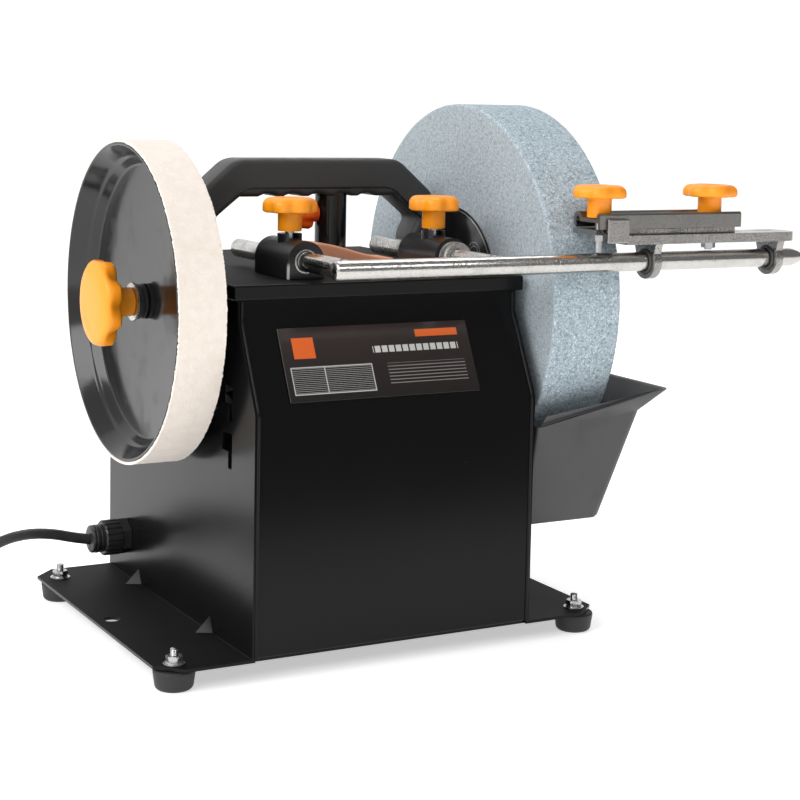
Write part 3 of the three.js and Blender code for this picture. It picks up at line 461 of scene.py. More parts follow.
def outward(verts, faces):
    """The faces, turned round if the solid they close has a negative volume."""
    verts = np.asarray(verts)
    volume = 0.0
    for face in faces:
        p = verts[face]
        volume += np.einsum("ij,ij->", np.cross(p[1:-1], p[2:]), np.broadcast_to(p[0], p[1:-1].shape))
    return [face[::-1] for face in faces] if volume < 0 else faces


def circle(sides, start=0.0):
    angle = start + np.arange(sides) * 2 * math.pi / sides
    return np.cos(angle), np.sin(angle)


AXES = {"x": (1, 2, 0), "y": (2, 0, 1), "z": (0, 1, 2)}


def turned(profile, centre, axis="x", sides=96, closed=True, ripple=None):
    """A profile of (along, radius) points turned round a line through centre: each point sweeps a circle
    of its radius. ripple(angle, row) may scale the radius, row being the point's place in the profile."""
    profile = np.asarray(profile, float)
    angle = np.arange(sides) * 2 * math.pi / sides
    radius = np.repeat(profile[:, 1:2], sides, 1)
    if ripple is not None:
        radius = radius * ripple(angle[None, :], np.arange(len(profile))[:, None])
    first, second, along = AXES[axis]
    rings = np.empty((len(profile), sides, 3))
    rings[..., first] = radius * np.cos(angle)
    rings[..., second] = radius * np.sin(angle)
    rings[..., along] = profile[:, :1]
    offset = np.array(centre, float)
    verts, faces = loft(rings + offset, closed)
    return verts, outward(verts, faces)


def rounded(profile, radius=1.0, steps=3):
    """The profile with each inner corner rounded: a quadratic curve from radius before it to radius after."""
    points = np.asarray(profile, float)
    result = [points[0]]
    for before, corner, after in zip(points, points[1:], points[2:]):
        back, ahead = before - corner, after - corner
        reach = min(radius, 0.45 * np.linalg.norm(back), 0.45 * np.linalg.norm(ahead))
        start = corner + back / np.linalg.norm(back) * reach
        end = corner + ahead / np.linalg.norm(ahead) * reach
        t = np.linspace(0, 1, steps + 1)[:, None]
        result.extend((1 - t) ** 2 * start + 2 * t * (1 - t) * corner + t ** 2 * end)
    result.append(points[-1])
    return np.array(result)


def rounded_loop(points, radius=1.0, steps=3):
    """A closed outline with every corner rounded as in rounded()."""
    points = list(map(tuple, points))
    middle = ((np.array(points[0]) + np.array(points[-1])) / 2).tolist()
    return rounded([middle, *points, middle], radius, steps)[:-1]


def dense(points, step):
    """A closed outline with points added so that none are further apart than step."""
    points = np.asarray(points, float)
    result = []
    for start, end in zip(points, np.roll(points, -1, 0)):
        count = max(1, int(np.ceil(np.linalg.norm(end - start) / step)))
        result.append(start + (end - start) * np.arange(count)[:, None] / count)
    return np.concatenate(result)


def inset(points, amount):
    """A closed outline moved inwards: each point goes along the mean of its two edges' normals."""
    edge = np.roll(points, -1, 0) - points
    normal = np.stack([-edge[:, 1], edge[:, 0]], 1)
    normal /= np.linalg.norm(normal, axis=1, keepdims=True)
    mean = normal + np.roll(normal, 1, 0)
    mean /= np.maximum(np.einsum("ij,ij->i", mean, mean)[:, None] / 2, 0.5)
    area = np.einsum("i,i->", points[:, 0], np.roll(points[:, 1], -1)) - np.einsum(
        "i,i->", np.roll(points[:, 0], -1), points[:, 1]
    )
    return points + mean * amount * (1 if area > 0 else -1)


def slab(outline, span, axis="y", radius=1.0, steps=4):
    """An outline given depth along an axis, with its two rims rounded: for a from 0 to a right angle the
    outline shrinks by radius * (1 - sin a) where it lies radius * (1 - cos a) in from the face."""
    outline = np.asarray(outline, float)
    turn = np.linspace(0, math.pi / 2, steps + 1)
    near = [(radius * (1 - math.sin(a)), span[0] + radius * (1 - math.cos(a))) for a in turn]
    far = [(shrink, span[0] + span[1] - level) for shrink, level in reversed(near)]
    first, second, along = {"y": (0, 2, 1), "x": (1, 2, 0), "z": (0, 1, 2)}[axis]
    rings = np.empty((2 * len(near), len(outline), 3))
    for ring, (shrink, level) in zip(rings, near + far):
        shape = inset(outline, shrink)
        ring[:, first], ring[:, second], ring[:, along] = shape[:, 0], shape[:, 1], level
    verts, faces = loft(rings)
    return verts, outward(verts, faces)


def tube(path, radius, sides=20):
    """A round tube along a path. Its frame is carried from point to point without twist, and each ring is
    the path's point plus radius * (side * cos a + lift * sin a). radius is one number or one per point."""
    path = np.asarray(path, float)
    radius = np.broadcast_to(np.asarray(radius, float), len(path))
    ahead = np.gradient(path, axis=0)
    ahead /= np.linalg.norm(ahead, axis=1, keepdims=True)
    side = np.cross(ahead[0], (0, 0, 1) if abs(ahead[0][2]) < 0.9 else (0, 1, 0))
    cos, sin = circle(sides)
    rings = []
    for point, direction, r in zip(path, ahead, radius):
        side = side - direction * side.dot(direction)
        side /= np.linalg.norm(side)
        lift = np.cross(side, direction)
        rings.append(point + r * (cos[:, None] * side + sin[:, None] * lift))
    verts, faces = loft(rings)
    return verts, outward(verts, faces)


def merged(*shapes):
    """Several (vertices, faces) pairs as one."""
    verts, faces, count = [], [], 0
    for shape_verts, shape_faces in shapes:
        verts.append(shape_verts)
        faces.extend([[index + count for index in face] for face in shape_faces])
        count += len(shape_verts)
    return np.concatenate(verts), faces


def softened(node, finish, width=0.5, segments=2, sharp=32.0):
    """A CAD node's own shape with its doubles merged, its flat triangles joined and its edges broken."""
    source = frame["nodes"][node]
    mesh = source.data.copy()
    work = bmesh.new()
    work.from_mesh(mesh)
    bmesh.ops.remove_doubles(work, verts=work.verts, dist=1e-6)
    flat = math.radians(0.6)
    bmesh.ops.dissolve_limit(work, angle_limit=flat, verts=work.verts, edges=work.edges)
    work.to_mesh(mesh)
    work.free()
    piece = finish_piece(f"{node}_shell", mesh, finish, source["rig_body"], [node], sharp)
    bevel = piece.modifiers.new("broken_edges", "BEVEL")
    bevel.width = width / 1000
    bevel.segments = segments
    bevel.limit_method = "ANGLE"
    bevel.angle_limit = math.radians(sharp)
    bevel.harden_normals = True
    bevel.use_clamp_overlap = True
    return piece


def repaint(finish, *nodes):
    """Gives CAD nodes that keep their own shape a finish."""
    for name in nodes:
        mesh = frame["nodes"][name].data
        mesh.materials.clear()
        mesh.materials.append(FINISHES[finish])


# ------------------------------------------------------------------ mains lead

CORD_ROUTE = [
    (-121.6, 90, 47), (-133, 90, 49.5), (-147, 90, 53), (-162, 90.3, 54.5), (-177, 91, 52.5),
    (-190, 92.3, 46.5), (-200, 94, 37.5), (-208.5, 96, 28.5), (-216.5, 98.3, 20), (-224.5, 100.7, 13.3),
    (-231, 102.4, 10.3), (-236, 103.4, 9.4),
]
PLUG_BACK = (-234.5, 196, SOLE_Z + 10.8)


def smooth_route(points, steps):
    """A Catmull-Rom curve through the points, in steps a span."""
    p = np.array(points, float)
    p = np.vstack([2 * p[0] - p[1], p, 2 * p[-1] - p[-2]])
    t = (np.arange(steps) / steps)[:, None, None]
    a, b, c, d = p[:-3], p[1:-2], p[2:-1], p[3:]
    bend = (2 * a - 5 * b + 4 * c - d) * t ** 2
    curve = 0.5 * (2 * b + (c - a) * t + bend + (3 * b - 3 * c + d - a) * t ** 3)
    return np.vstack([curve.transpose(1, 0, 2).reshape(-1, 3), p[-2:-1]])


def ease(value):
    value = np.clip(value, 0, 1)
    return value * value * (3 - 2 * value)


def coil_path(per_turn=30, turns=5.5):
    """Three turns inwards on the ground and two and a half outwards on top of them. Each turn keeps its
    radius but for its last fifth, where it steps across to the next, and the third climbs a layer."""
    t = np.arange(1, int(per_turn * turns) + 1) / per_turn
    whole, part = np.floor(t), t - np.floor(t)
    whole, part = np.where(part == 0, whole - 1, whole), np.where(part == 0, 1.0, part)
    step = ease((part - 0.8) / 0.2)
    pitch = COIL_RADII[0] - COIL_RADII[1]
    inward = whole + np.where(whole < 2, step, 0)
    outward_turns = 2 - (whole - 3) - np.where(whole < 5, step, 0)
    radius = COIL_RADII[0] - pitch * np.where(whole < 3, inward, outward_turns)
    low, high = COIL_HEIGHTS
    height = low + (high - low) * np.where(whole < 2, 0, np.where(whole > 2, 1, ease((part - 0.4) / 0.4)))
    angle = -math.pi / 2 - 2 * math.pi * t
    x = COIL_CENTRE[0] + radius * np.cos(angle)
    y = COIL_CENTRE[1] + radius * np.sin(angle)
    return np.stack([x, y, height], 1)


def mains_lead():
    """The cord from the gland to the ground, its coil behind, and the plug that lies beside the coil."""
    start = np.array([[COIL_CENTRE[0] + 14, COIL_CENTRE[1] - COIL_RADII[0], COIL_HEIGHTS[0]]])
    free = smooth_route([*CORD_ROUTE, tuple(start[0])], 3)
    end = [(COIL_CENTRE[0] + 14, PLUG_BACK[1], PLUG_BACK[2]), PLUG_BACK]
    path = np.vstack([free, coil_path(), end])
    verts, faces = tube(path, CORD_R, 14)
    nodes = ["mains_cord", "cord_coil"]
    piece = make_piece("cord_run", verts, faces, "cord", "machine_body", "rubber", nodes, 60)
    plug = plug_shell()


def plug_shell():
    """A round plug: a ribbed boot that bends up from the cord, a waisted grip and two pins."""
    y, z = 196, SOLE_Z + 18
    back, front = -212, -176
    bend = [(-233, y, z - 7.2), (-224, y, z - 6.2), (back - 7, y, z - 1.4), (back + 3, y, z)]
    spine = smooth_route(bend, 8)
    ribs = 4.5 + 0.6 * np.cos(np.arange(len(spine)) * math.pi / 1.5)
    grip = rounded([
        (back, 0.5), (back, 10.5), (back + 7, 14.5), (back + 15, 14), (back + 20, 17.4), (front - 0.5, 17.4),
        (front, 16.6), (front, 0.5),
    ], 2.0)
    body = turned(grip, (0, y, z), "x", 64, False, lambda a, row: 1 - 0.012 * np.cos(12 * a))
    shell = merged(tube(spine, ribs, 20), body)
    piece = make_piece("plug_body", *shell, "nylon", "machine_body", "dark_plastic", ["mains_plug"], 50)
    tip = front + 19
    pin = rounded([(front - 2, 0.3), (front - 2, 2.3), (tip - 1, 2.3), (tip, 1.2), (tip, 0.3)], 0.6)
    for side in (-1, 1):
        shape = turned(pin, (0, y + 9.5 * side, z), "x", 24, False)
        make_piece(f"plug_pin_{(side + 3) // 2}", *shape, "steel", "machine_body", "steel")
    return piece


mains_lead()

# ------------------------------------------------------------------ housing

repaint("coat", "bottom_plate", "rear_panel")
softened("side_panel_left", "coat", 0.7)
softened("side_panel_right", "coat", 0.7)
softened("front_panel", "coat", 0.9, 3)
softened("top_cover", "coat", 1.3, 3)
softened("rating_label", "label", 0.25)


def folded_seams():
    """The front panel's side folds: a thin round seam up each front corner, to just below the cover's lip."""
    line = [(FRONT_Y, FLANGE_Z + 0.3), (FRONT_Y, CREASE_Z), SLOPE_TOP, (SLOPE_TOP[0], COVER_LIP_Z - 1)]
    for name, side in (("left", -1), ("right", 1)):
        x = side * (HOUSING_HALF - 2.3)
        path = rounded(line, 2.0, 4)
        points = np.column_stack([np.full(len(path), x), path])
        make_piece(
            f"front_fold_{name}", *tube(points, 1.1, 12), "coat", "machine_body", "black_paint", sharp=60,
        )


def hexagon(angle):
    """A hexagon's radius at each angle, over that at the middle of its flats: 1 over the cosine of the angle
    from the nearest flat's middle."""
    return 1 / np.cos((angle + math.pi / 6) % (math.pi / 3) - math.pi / 6)


def hex_nut(centre, across, height):
    """A six-sided nut whose corners are cut back to 1.06 of its half width at the two faces."""
    def sides(angle, row):
        middle = np.where((row > 1) & (row < 4), hexagon(angle), 1)
        return np.where((row == 1) | (row == 4), np.minimum(hexagon(angle), 1.06), middle)

    profile = [
        (0, 1.6), (0.001, across), (0.5, across), (height - 0.5, across), (height - 0.001, across),
        (height, 1.6),
    ]
    return turned(profile, centre, "z", 48, ripple=sides)


def thread(start, ridges, radius):
    """The rows of a thread from start: one every 0.35, in turn on the radius and 0.2 outside it."""
    return [(start + 0.35 * i, radius + (0.2 if i % 2 else 0)) for i in range(ridges)]


def foot_fasteners():
    """On each flange corner a washer, a flanged nut and a stud's domed end, over the rubber foot below."""
    washer_rows = rounded([(0.05, 3), (0.05, 6.6), (0.8, 6.6), (0.8, 3)], 0.3)
    collar_rows = rounded([(0.8, 2.6), (0.8, 5.4), (1.4, 5.2), (1.4, 2.6)], 0.3)
    stud_rows = [(4.9, 0.4), *thread(5, 12, 2.2), (9.3, 1.8), (9.6, 0.4)]
    foot = rounded([
        (SOLE_Z, 0.5), (SOLE_Z, 9.6), (SOLE_Z + 1.6, 11.2), (16.4, 12.5), (17.6, 11.9), (17.6, 0.5),
    ], 1.6)
    for number, (x, y) in enumerate(FOOT_SPOTS, 1):
        spot = (x, y, FLANGE_Z)
        shape = merged(
            turned(washer_rows, spot, "z", 40), turned(collar_rows, spot, "z", 40),
            hex_nut((x, y, FLANGE_Z + 1.4), 4.4, 3.6), turned(stud_rows, spot, "z", 24, False),
        )
        make_piece(f"foot_nut_{number}", *shape, "steel", "machine_body", "steel", sharp=30)
        ring = turned(foot, (x, y, 0), "z", 72, False)
        make_piece(
            f"foot_{number}", *ring, "rubber", "machine_body", "rubber", [f"rubber_foot_{number}"],
        )


folded_seams()
foot_fasteners()

# ------------------------------------------------------------------ carrying handle

HANDLE_X = 8
HANDLE_Y = (12, 38)
GRIP_Z = 280.5
POST = (22, 24, 10.5)
POST_KNOB_Z = 268.9


def handle_outline():
    """Half of the arch mirrored, its underside cut by five shallow finger arcs of radius 14 and pitch 18."""
    foot = COVER_TOP_Z + 0.3
    arcs = []
    centre_z, reach = GRIP_Z - 14 + 1.8, math.acos((14 - 1.8) / 14)
    for i in range(2, -3, -1):
        angle = np.linspace(math.pi / 2 - reach, math.pi / 2 + reach, 9)
        arcs.extend(zip(18 * i + 14 * np.cos(angle), centre_z + 14 * np.sin(angle)))
    right = [(75.5, 265), (69.5, 255), (69.5, foot), (87, foot), (87, 281), (59, 305)]
    left = [(-x, z) for x, z in reversed(right)]
    upper = rounded([(56, GRIP_Z), *right, *left, (-56, GRIP_Z)], 6.5, 7)
    loop = np.array([*arcs[::-1], *upper]) + (HANDLE_X, 0)
    return dense(loop, 3.0)


def handle_grooves():
    """A fine parting bead along each face of the grip, parallel to its lower edge and down both slants."""
    half = rounded([(0, GRIP_Z + 5.6), (54.5, GRIP_Z + 5.6), (76, 266)], 7, 6)
    line = np.vstack([(-half[::-1]) * (1, -1), half[1:]]) + (HANDLE_X, 0)
    for name, y in (("front", HANDLE_Y[0] + 0.3), ("back", HANDLE_Y[1] - 0.3)):
        path = np.column_stack([line[:, 0], np.full(len(line), y), line[:, 1]])
        make_piece(f"handle_bead_{name}", *tube(path, 0.7, 10), "gloss", "machine_body", "dark_plastic")


def carrying_handle():
    verts, faces = slab(handle_outline(), HANDLE_Y, "y", 3.6, 6)
    make_piece("handle_grip", verts, faces, "handle", "machine_body", "dark_plastic", ["carry_handle"], 50)
    low = COVER_TOP_Z + 0.3
    radius = POST[2]
    profile = rounded([
        (low, 0.5), (low, radius + 1.6), (low + 2.1, radius + 1.6), (low + 2.9, radius), (288, radius),
        (289.6, radius - 1), (289.6, 0.5),
    ], 0.8)
    post = turned(profile, (POST[0], POST[1], 0), "z", 64, False)
    make_piece("post_column", *post, "gloss", "machine_body", "black_plastic", ["handle_post"])


carrying_handle()
handle_grooves()


def star_profile(radius, hub, cap, stem):
    """Rows (height, radius, share of the lobes) up a star knob: a plain hub, then a flat-topped cap whose
    lower rim is nearly sharp and whose upper rim is a wide quarter round."""
    low, high = cap
    turn = np.linspace(0, math.pi / 2, 8)
    tall, wide = 4.6, 5.2
    crown = [
        (high - tall + tall * math.sin(a), radius - wide * (1 - math.cos(a)), 1 - 0.35 * a / 1.57)
        for a in turn
    ]
    return [
        (stem, 0.5, 0), (stem, hub - 0.3, 0), (stem + 0.4, hub, 0), (low - 0.9, hub, 0),
        (low - 0.1, hub + 0.6, 0), (low, hub + 2.0, 0), (low + 0.1, radius - 1.8, 0.9),
        (low + 0.5, radius - 0.6, 1), (low + 1.2, radius, 1), *crown, (high - 0.05, radius - 8, 0.3),
        (high - 0.2, 5.4, 0), (high - 0.8, 4.6, 0), (high - 0.9, 0.5, 0),
    ]


def star_knob(rows, centre, axis="z", lobes=6, depth=0.15, sides=144, turn=0.0):
    """A knob with round lobes: the radius falls by depth between lobes as a raised cosine, so that each lobe
    is wide and each notch narrow, and the rows say how much of that shows at their height."""
    rows = np.array(rows, float)

    def lobe(angle, row):
        wave = 0.5 + 0.5 * np.cos(lobes * (angle - turn))
        return 1 - depth * rows[row, 2] * wave ** 1.6

    return turned(rows[:, :2], centre, axis, sides, False, lobe)


def clamp_knobs():
    """On each bracket an orange six-lobed knob, whose threaded stud goes down through the slotted boss."""
    rows = star_profile(16.8, 7.4, (275, 284.3), 263.8)
    stud_rows = [(255.9, 0.4), *thread(256, 23, 2.75), (264.2, 0.4)]
    for name, x in zip(("left", "right"), LEG_X):
        knob = star_knob(rows, (x, KNOB_Y, 0), turn=math.radians(12 if name == "left" else 34))
        body = f"{name}_clamp_knob"
        make_piece(f"{name}_knob_cap", *knob, "orange", body, "orange_plastic", [body], 50)
        stud = turned(stud_rows, (x, KNOB_Y, 0), "z", 32, False)
        make_piece(f"{name}_knob_stud", *stud, "steel", body, "steel", sharp=60)


def jig_star_knobs():
    rows = star_profile(17.4, 7.6, (287.4, 295.2), 275.2)
    for number, x in enumerate(STUD_X, 1):
        knob = star_knob(rows, (x, BAR_Y, 0), depth=0.1, turn=math.radians(8 + 20 * number))
        body = f"jig_knob_{number}"
        make_piece(f"jig_star_{number}", *knob, "orange", body, "orange_plastic", [body], 50)


def small_post_knob():
    face = POST[0] - POST[2] - 0.3
    rows = [
        (face - 13, 0.5, 0), (face - 13, 5.2, 0.1), (face - 12.4, 8.4, 0.6), (face - 11, 10.2, 1),
        (face - 6.4, 10.7, 1), (face - 4.6, 9.8, 1), (face - 4.2, 7.4, 0.4), (face - 3.6, 6, 0),
        (face, 5.8, 0), (face, 0.5, 0),
    ]
    knob = star_knob(rows, (0, POST[1], POST_KNOB_Z), "x", 5, 0.17, 120)
    # The knob takes the darker copy of the orange: painted shade.
    make_piece("post_star", *knob, "deep_orange", "post_knob", "orange_plastic", ["post_knob"], 50)


clamp_knobs()
jig_star_knobs()
small_post_knob()


def pad_outline():
    """A low hump, tall on the left and running out to a small round nose on the right."""
    base = COVER_TOP_Z + 0.3
    x = np.linspace(-33.5, 45.5, 44)
    t = (x + 33.5) / 79
    crest = 17.2 * np.sin(np.clip(t / 0.26, 0, 1) * math.pi / 2) ** 0.7 * (1 - 0.62 * ease((t - 0.22) / 0.72))
    nose = np.sqrt(np.clip(1 - ((t - 0.93) / 0.07).clip(0, 1) ** 2, 0, 1))
    top = np.column_stack([x, base + np.maximum(crest * nose, 0.4)])
    return np.vstack([[(45.8, base), ], top[::-1], [(-33.8, base)]])[::-1]


pad = slab(pad_outline(), (-28, -7), "y", 1.6, 5)
make_piece("pad_hump", *pad, "salmon", "machine_body", "salmon_plastic", ["cover_pad"], 50)

# ------------------------------------------------------------------ shaft and wheels

WHEEL_CENTRE = (0, 0, SHAFT_Z)
WEB_X = -118


def strop_wheel():
    """A moulded dish: a sloping lip, a ridge, a flat web and a deep back that holds the drive ring."""
    edge = STROP_R - 2
    right = STROP_X[1]
    profile = rounded([
        (WEB_X - 0.2, 6.3), (WEB_X, 12), (WEB_X, 85.2), (-123.2, 88.6), (-124.5, 90.4),
        (STROP_X[0] + 0.2, edge - 1.6),
        (STROP_X[0], edge - 0.8), (STROP_X[0] + 0.1, edge), (right, edge), (right, 92), (WEB_X + 3, 92),
        (WEB_X + 3, 14), (-104, 14), (-104, 6.3), (WEB_X - 0.2, 6.3),
    ], 1.2, 4)[:-1]
    shape = turned(profile, WHEEL_CENTRE, "x", 168)
    make_piece("strop_dish", *shape, "gloss", "spindle", "black_plastic", ["strop_wheel"], 45)


def strop_leather():
    """A thin ring of leather whose face and cut edges rise and fall by sums of sines of the angle."""
    inner, outer = STROP_R - 1.75, STROP_R - 0.15
    x0, x1 = STROP_X[0] + 0.4, STROP_X[1] - 0.3
    sides, across = 720, 22
    angle = np.arange(sides) * 2 * math.pi / sides
    face = np.linspace(0, 1, across)
    loop = np.array([
        *[(x0 + (x1 - x0) * t, outer) for t in face], *[(x1 - (x1 - x0) * t, inner) for t in face],
    ])
    generator = np.random.default_rng(7)
    wave = np.zeros((len(loop), sides))
    for count in (5, 11, 23, 47, 96, 173):
        phase = generator.uniform(0, 2 * math.pi, (len(loop), 1))
        phase = np.cumsum(generator.normal(0, 0.5, (len(loop), 1)), 0) + phase[:1]
        wave += np.sin(count * angle + phase) * 0.5 / count ** 0.4
    rim = np.array([1.0 if t in (0, across - 1, across, 2 * across - 1) else 0.35 for t in range(len(loop))])
    fuzz = generator.normal(0, 0.09, wave.shape)
    lift = (0.1 * wave + fuzz) * rim[:, None]
    shift = (0.22 * np.roll(wave, 90, 1) + 1.6 * fuzz) * (rim[:, None] > 0.9)
    radius = loop[:, 1:2] + np.clip(lift, -0.25, 0.25)
    rings = np.empty((len(loop), sides, 3))
    rings[..., 0] = loop[:, :1] + np.clip(shift, -0.5, 0.5)
    rings[..., 1] = radius * np.cos(angle)
    rings[..., 2] = radius * np.sin(angle) + SHAFT_Z
    verts, faces = loft(rings, closed=True)
    make_piece(
        "strop_band", verts, outward(verts, faces), "leather", "spindle", "leather", ["strop_leather"], 70,
    )


def strop_hub():
    """The grooved collar, a washer with a milled rim and the domed orange knob with eight thumb hollows."""
    x = (-124.2, WEB_X - 0.3)
    middle = sum(x) / 2
    grooves = [(x[0], 6.4), (x[0], 10.2), (x[0] + 0.8, 11), (middle - 0.9, 11), (middle - 0.6, 9.6),
               (middle + 0.6, 9.6), (middle + 0.9, 11), (x[1] - 0.7, 11), (x[1], 10.2), (x[1], 6.4)]
    collar = turned(grooves, WHEEL_CENTRE, "x", 64)
    make_piece("hub_collar", *collar, "nylon", "spindle", "dark_plastic", ["strop_collar"], 30)
    rim = [(-126, 6.4), (-126, 11.2), (-125.8, 12), (-124.7, 12), (-124.5, 11.2), (-124.5, 6.4)]

    def milled(angle, row):
        return 1 - 0.035 * (np.cos(45 * angle) > 0) * (row > 0) * (row < 5)

    washer = turned(rim, WHEEL_CENTRE, "x", 180, ripple=milled)
    make_piece("hub_washer", *washer, "chrome", "spindle", "chrome", ["strop_washer"], 30)
    rows = np.array([
        (-126.3, 0.5, 0), (-126.3, 8.4, 0), (-126.9, 9, 0), (-136.5, 9, 0), (-138.2, 10.5, 0),
        (-138.9, 15, 0.3), (-139.5, 21, 1), (-140.4, 25, 1), (-141.8, 26.8, 1), (-144, 27, 0.8),
        (-146, 27, 0.45), (-148, 26.8, 0.2), (-149.6, 25.9, 0.06), (-150.9, 23.9, 0), (-151.9, 20, 0),
        (-152.5, 15, 0), (-152.8, 9, 0), (-152.9, 0.5, 0),
    ])

    def hollow(angle, row):
        """Each hollow is a bite out of the rim: a raised cosine to a power, eight times round."""
        bite = (0.5 + 0.5 * np.cos(8 * angle)) ** 1.6
        return 1 - 0.17 * rows[row, 2] * bite

    knob = turned(rows[:, :2], WHEEL_CENTRE, "x", 192, False, hollow)
    make_piece("wheel_knob", *knob, "orange", "strop_knob", "orange_plastic", ["strop_knob"], 45)


def grindstone():
    """The stone's edge is a small chamfer nibbled by seeded noise: chips pull its points in by up to
    0.6 mm."""
    low, high = STONE_X
    sides = 480
    edge = [(0, 6.3), (0, 60), (0, 110), (0, STONE_R - 2.0), (0, STONE_R - 1.3), (0.45, STONE_R - 0.45),
            (1.3, STONE_R), (3, STONE_R)]
    profile = [(low + x, r) for x, r in edge] + [(low + 25, STONE_R)] + [(high - x, r) for x, r in edge[::-1]]
    generator = np.random.default_rng(3)
    chip = np.clip(generator.normal(0, 1, (len(profile), sides)) - 1.1, 0, 2) * 0.28
    near_edge = np.isin(np.arange(len(profile)), (4, 5, 6, 10, 11, 12))

    def nibbled(angle, row):
        return 1 - (chip * near_edge[:, None] + generator.normal(0, 0.03, chip.shape)) / STONE_R

    shape = turned(profile, WHEEL_CENTRE, "x", sides, ripple=nibbled)
    make_piece("stone_wheel", *shape, "stone", "spindle", "stone", ["grinding_stone"], 60)


def stone_badge():
    """A glossy disc on the stone's side, its thin bright rim, and two small plain rings near its edge."""
    disc = rounded([(103.2, 6.4), (103.2, 56), (102.6, 56.2), (102.4, 55.4), (102.4, 6.4)], 0.2)
    shape = turned(disc, WHEEL_CENTRE, "x", 144)
    make_piece("blotter_disc", *shape, "gloss", "spindle", "black_plastic", ["stone_blotter"])
    rim = [(102.25, 54.1), (102.25, 54.7), (102.45, 54.7), (102.45, 54.1)]
    shapes = [turned(rim, WHEEL_CENTRE, "x", 144)]
    centre = (0, -39 * math.cos(0.75), SHAFT_Z + 39 * math.sin(0.75))
    for radius in (5.2, 7.8):
        inside, outside = radius - 0.25, radius + 0.25
        ring = [(102.22, inside), (102.22, outside), (102.45, outside), (102.45, inside)]
        shapes.append(turned(ring, centre, "x", 48))
    make_piece("blotter_rings", *merged(*shapes), "alloy", "spindle", "aluminium", sharp=30)


strop_wheel()
strop_leather()
strop_hub()
grindstone()
stone_badge()
softened("stone_nut", "steel", 0.6)
softened("stone_flange_outer", "steel", 0.5)
repaint("steel", "stone_flange_inner", "main_shaft", "motor_shaft")
repaint("steel", "motor_cradle", "pivot_pin", "tension_spring")
repaint("nylon", "shaft_bush_left", "shaft_bush_right", "motor_fan", "switch_body", "gland_nut")
repaint("rubber", "drive_tyre")
repaint("casting", "motor_body")
repaint("alloy", "capacitor")
repaint("block", "terminal_block")
repaint("gloss", "switch_rocker")

# ------------------------------------------------------------------ support bar and brackets


def support_bar():
    """A plated round bar whose right end tapers, with two legs and a small weld bead at each joint."""
    def rod(points, centre, axis):
        profile = [(points[0][0], 0.4), *points, (points[-1][0], 0.4)]
        return turned(profile, centre, axis, 64, False)

    left, right = BAR_X
    bar = [
        (left, BAR_R - 1.6), (left + 0.6, BAR_R - 0.5), (left + 1.6, BAR_R), (right - 9, BAR_R),
        (right - 6, BAR_R - 0.5), (right - 1.4, BAR_R - 1.9), (right - 0.5, BAR_R - 2.4),
        (right, BAR_R - 3.2),
    ]
    make_piece(
        "cross_bar", *rod(bar, (0, BAR_Y, BAR_Z), "x"), "chrome", "support", "chrome", ["support_bar"], 40,
    )
    leg = [
        (BAR_Y + 2, BAR_R - 0.3), (BAR_Y + 2.6, BAR_R), (LEG_BACK_Y - 0.9, BAR_R),
        (LEG_BACK_Y - 0.3, BAR_R - 0.25), (LEG_BACK_Y, BAR_R - 0.9),
    ]
    bead = [(BAR_Y + 5.2, 5.7), (BAR_Y + 5.8, 6.5), (BAR_Y + 6.8, 6.5), (BAR_Y + 7.6, 6.0)]
    for name, x, finish in (("left", LEG_X[0], "chrome"), ("right", LEG_X[1], "galvanised")):
        make_piece(f"{name}_leg", *rod(leg, (x, 0, BAR_Z), "y"), finish, "support", "chrome", sharp=40)
        make_piece(f"{name}_weld", *turned(bead, (x, 0, BAR_Z), "y", 48), "chrome", "support", "chrome")


def knurled_nut():
    """A thumb ring: its rim is cut by fine grooves, 60 of them round it, between two plain bright bands."""
    y0, y1 = -85.3, -77.3
    rows = [(y0, 6.3), (y0, 9.2), (y0 + 0.7, 10.1), (y0 + 1.4, 10.2), (y0 + 1.6, 10.2), (y1 - 1.6, 10.2),
            (y1 - 1.4, 10.2), (y1 - 0.7, 10.1), (y1, 9.2), (y1, 6.3)]

    def knurl(angle, row):
        return 1 - 0.05 * ((row == 4) | (row == 5)) * (0.5 + 0.5 * np.cos(60 * angle))

    shape = turned(rows, (LEG_X[1], 0, BAR_Z), "y", 360, ripple=knurl)
    make_piece("thumb_ring", *shape, "galvanised", "adjust_nut", "chrome", ["adjust_nut"], 30)


def bracket_trim():
    """Each bracket gets a thin bright steel ring round each end of its bore: a painted highlight for the
    shine on the bore's black rim.
    """
    for name, x in zip(("left", "right"), LEG_X):
        softened(f"{name}_bracket", "casting", 0.9, 3)
        for place, y in (("front", BRACKET_Y[0]), ("back", BRACKET_Y[1])):
            # Painted highlight: a bright steel ring where the bore's black rim shines.
            ring = rounded([(-0.15, 6.4), (-0.15, 7.5), (0.15, 7.5), (0.15, 6.4)], 0.1)
            shape = turned(ring, (x, y, BAR_Z), "y", 48)
            make_piece(f"{name}_bore_highlight_ring_{place}", *shape, "steel", "machine_body", "cast_black")


support_bar()
knurled_nut()
bracket_trim()

# ------------------------------------------------------------------ straight-edge jig


def jig():
    """The clamp on the bar: pressed base with two eyes, a lower and an upper jaw, studs and a stop plate."""
    softened("jig_base", "jaw_plate", 0.9, 3)
    softened("jig_upper_jaw", "jaw", 0.35, 2)
    softened("jig_stop_plate", "jaw_plate", 0.9, 4)
    repaint("steel", "jig_stud_1", "jig_stud_2")
    profile = rounded([(-4, 6.4), (-4, 7.4), (-3.4, 8), (3.4, 8), (4, 7.4), (4, 6.4)], 0.2)
    for number, x in enumerate(EYE_X, 1):
        sleeve = turned(profile, (x, BAR_Y, BAR_Z), "x", 64)
        node = f"eye_sleeve_{number}"
        make_piece(f"eye_liner_{number}", *sleeve, "trough", "jig_sleeves", "dark_plastic", [node])


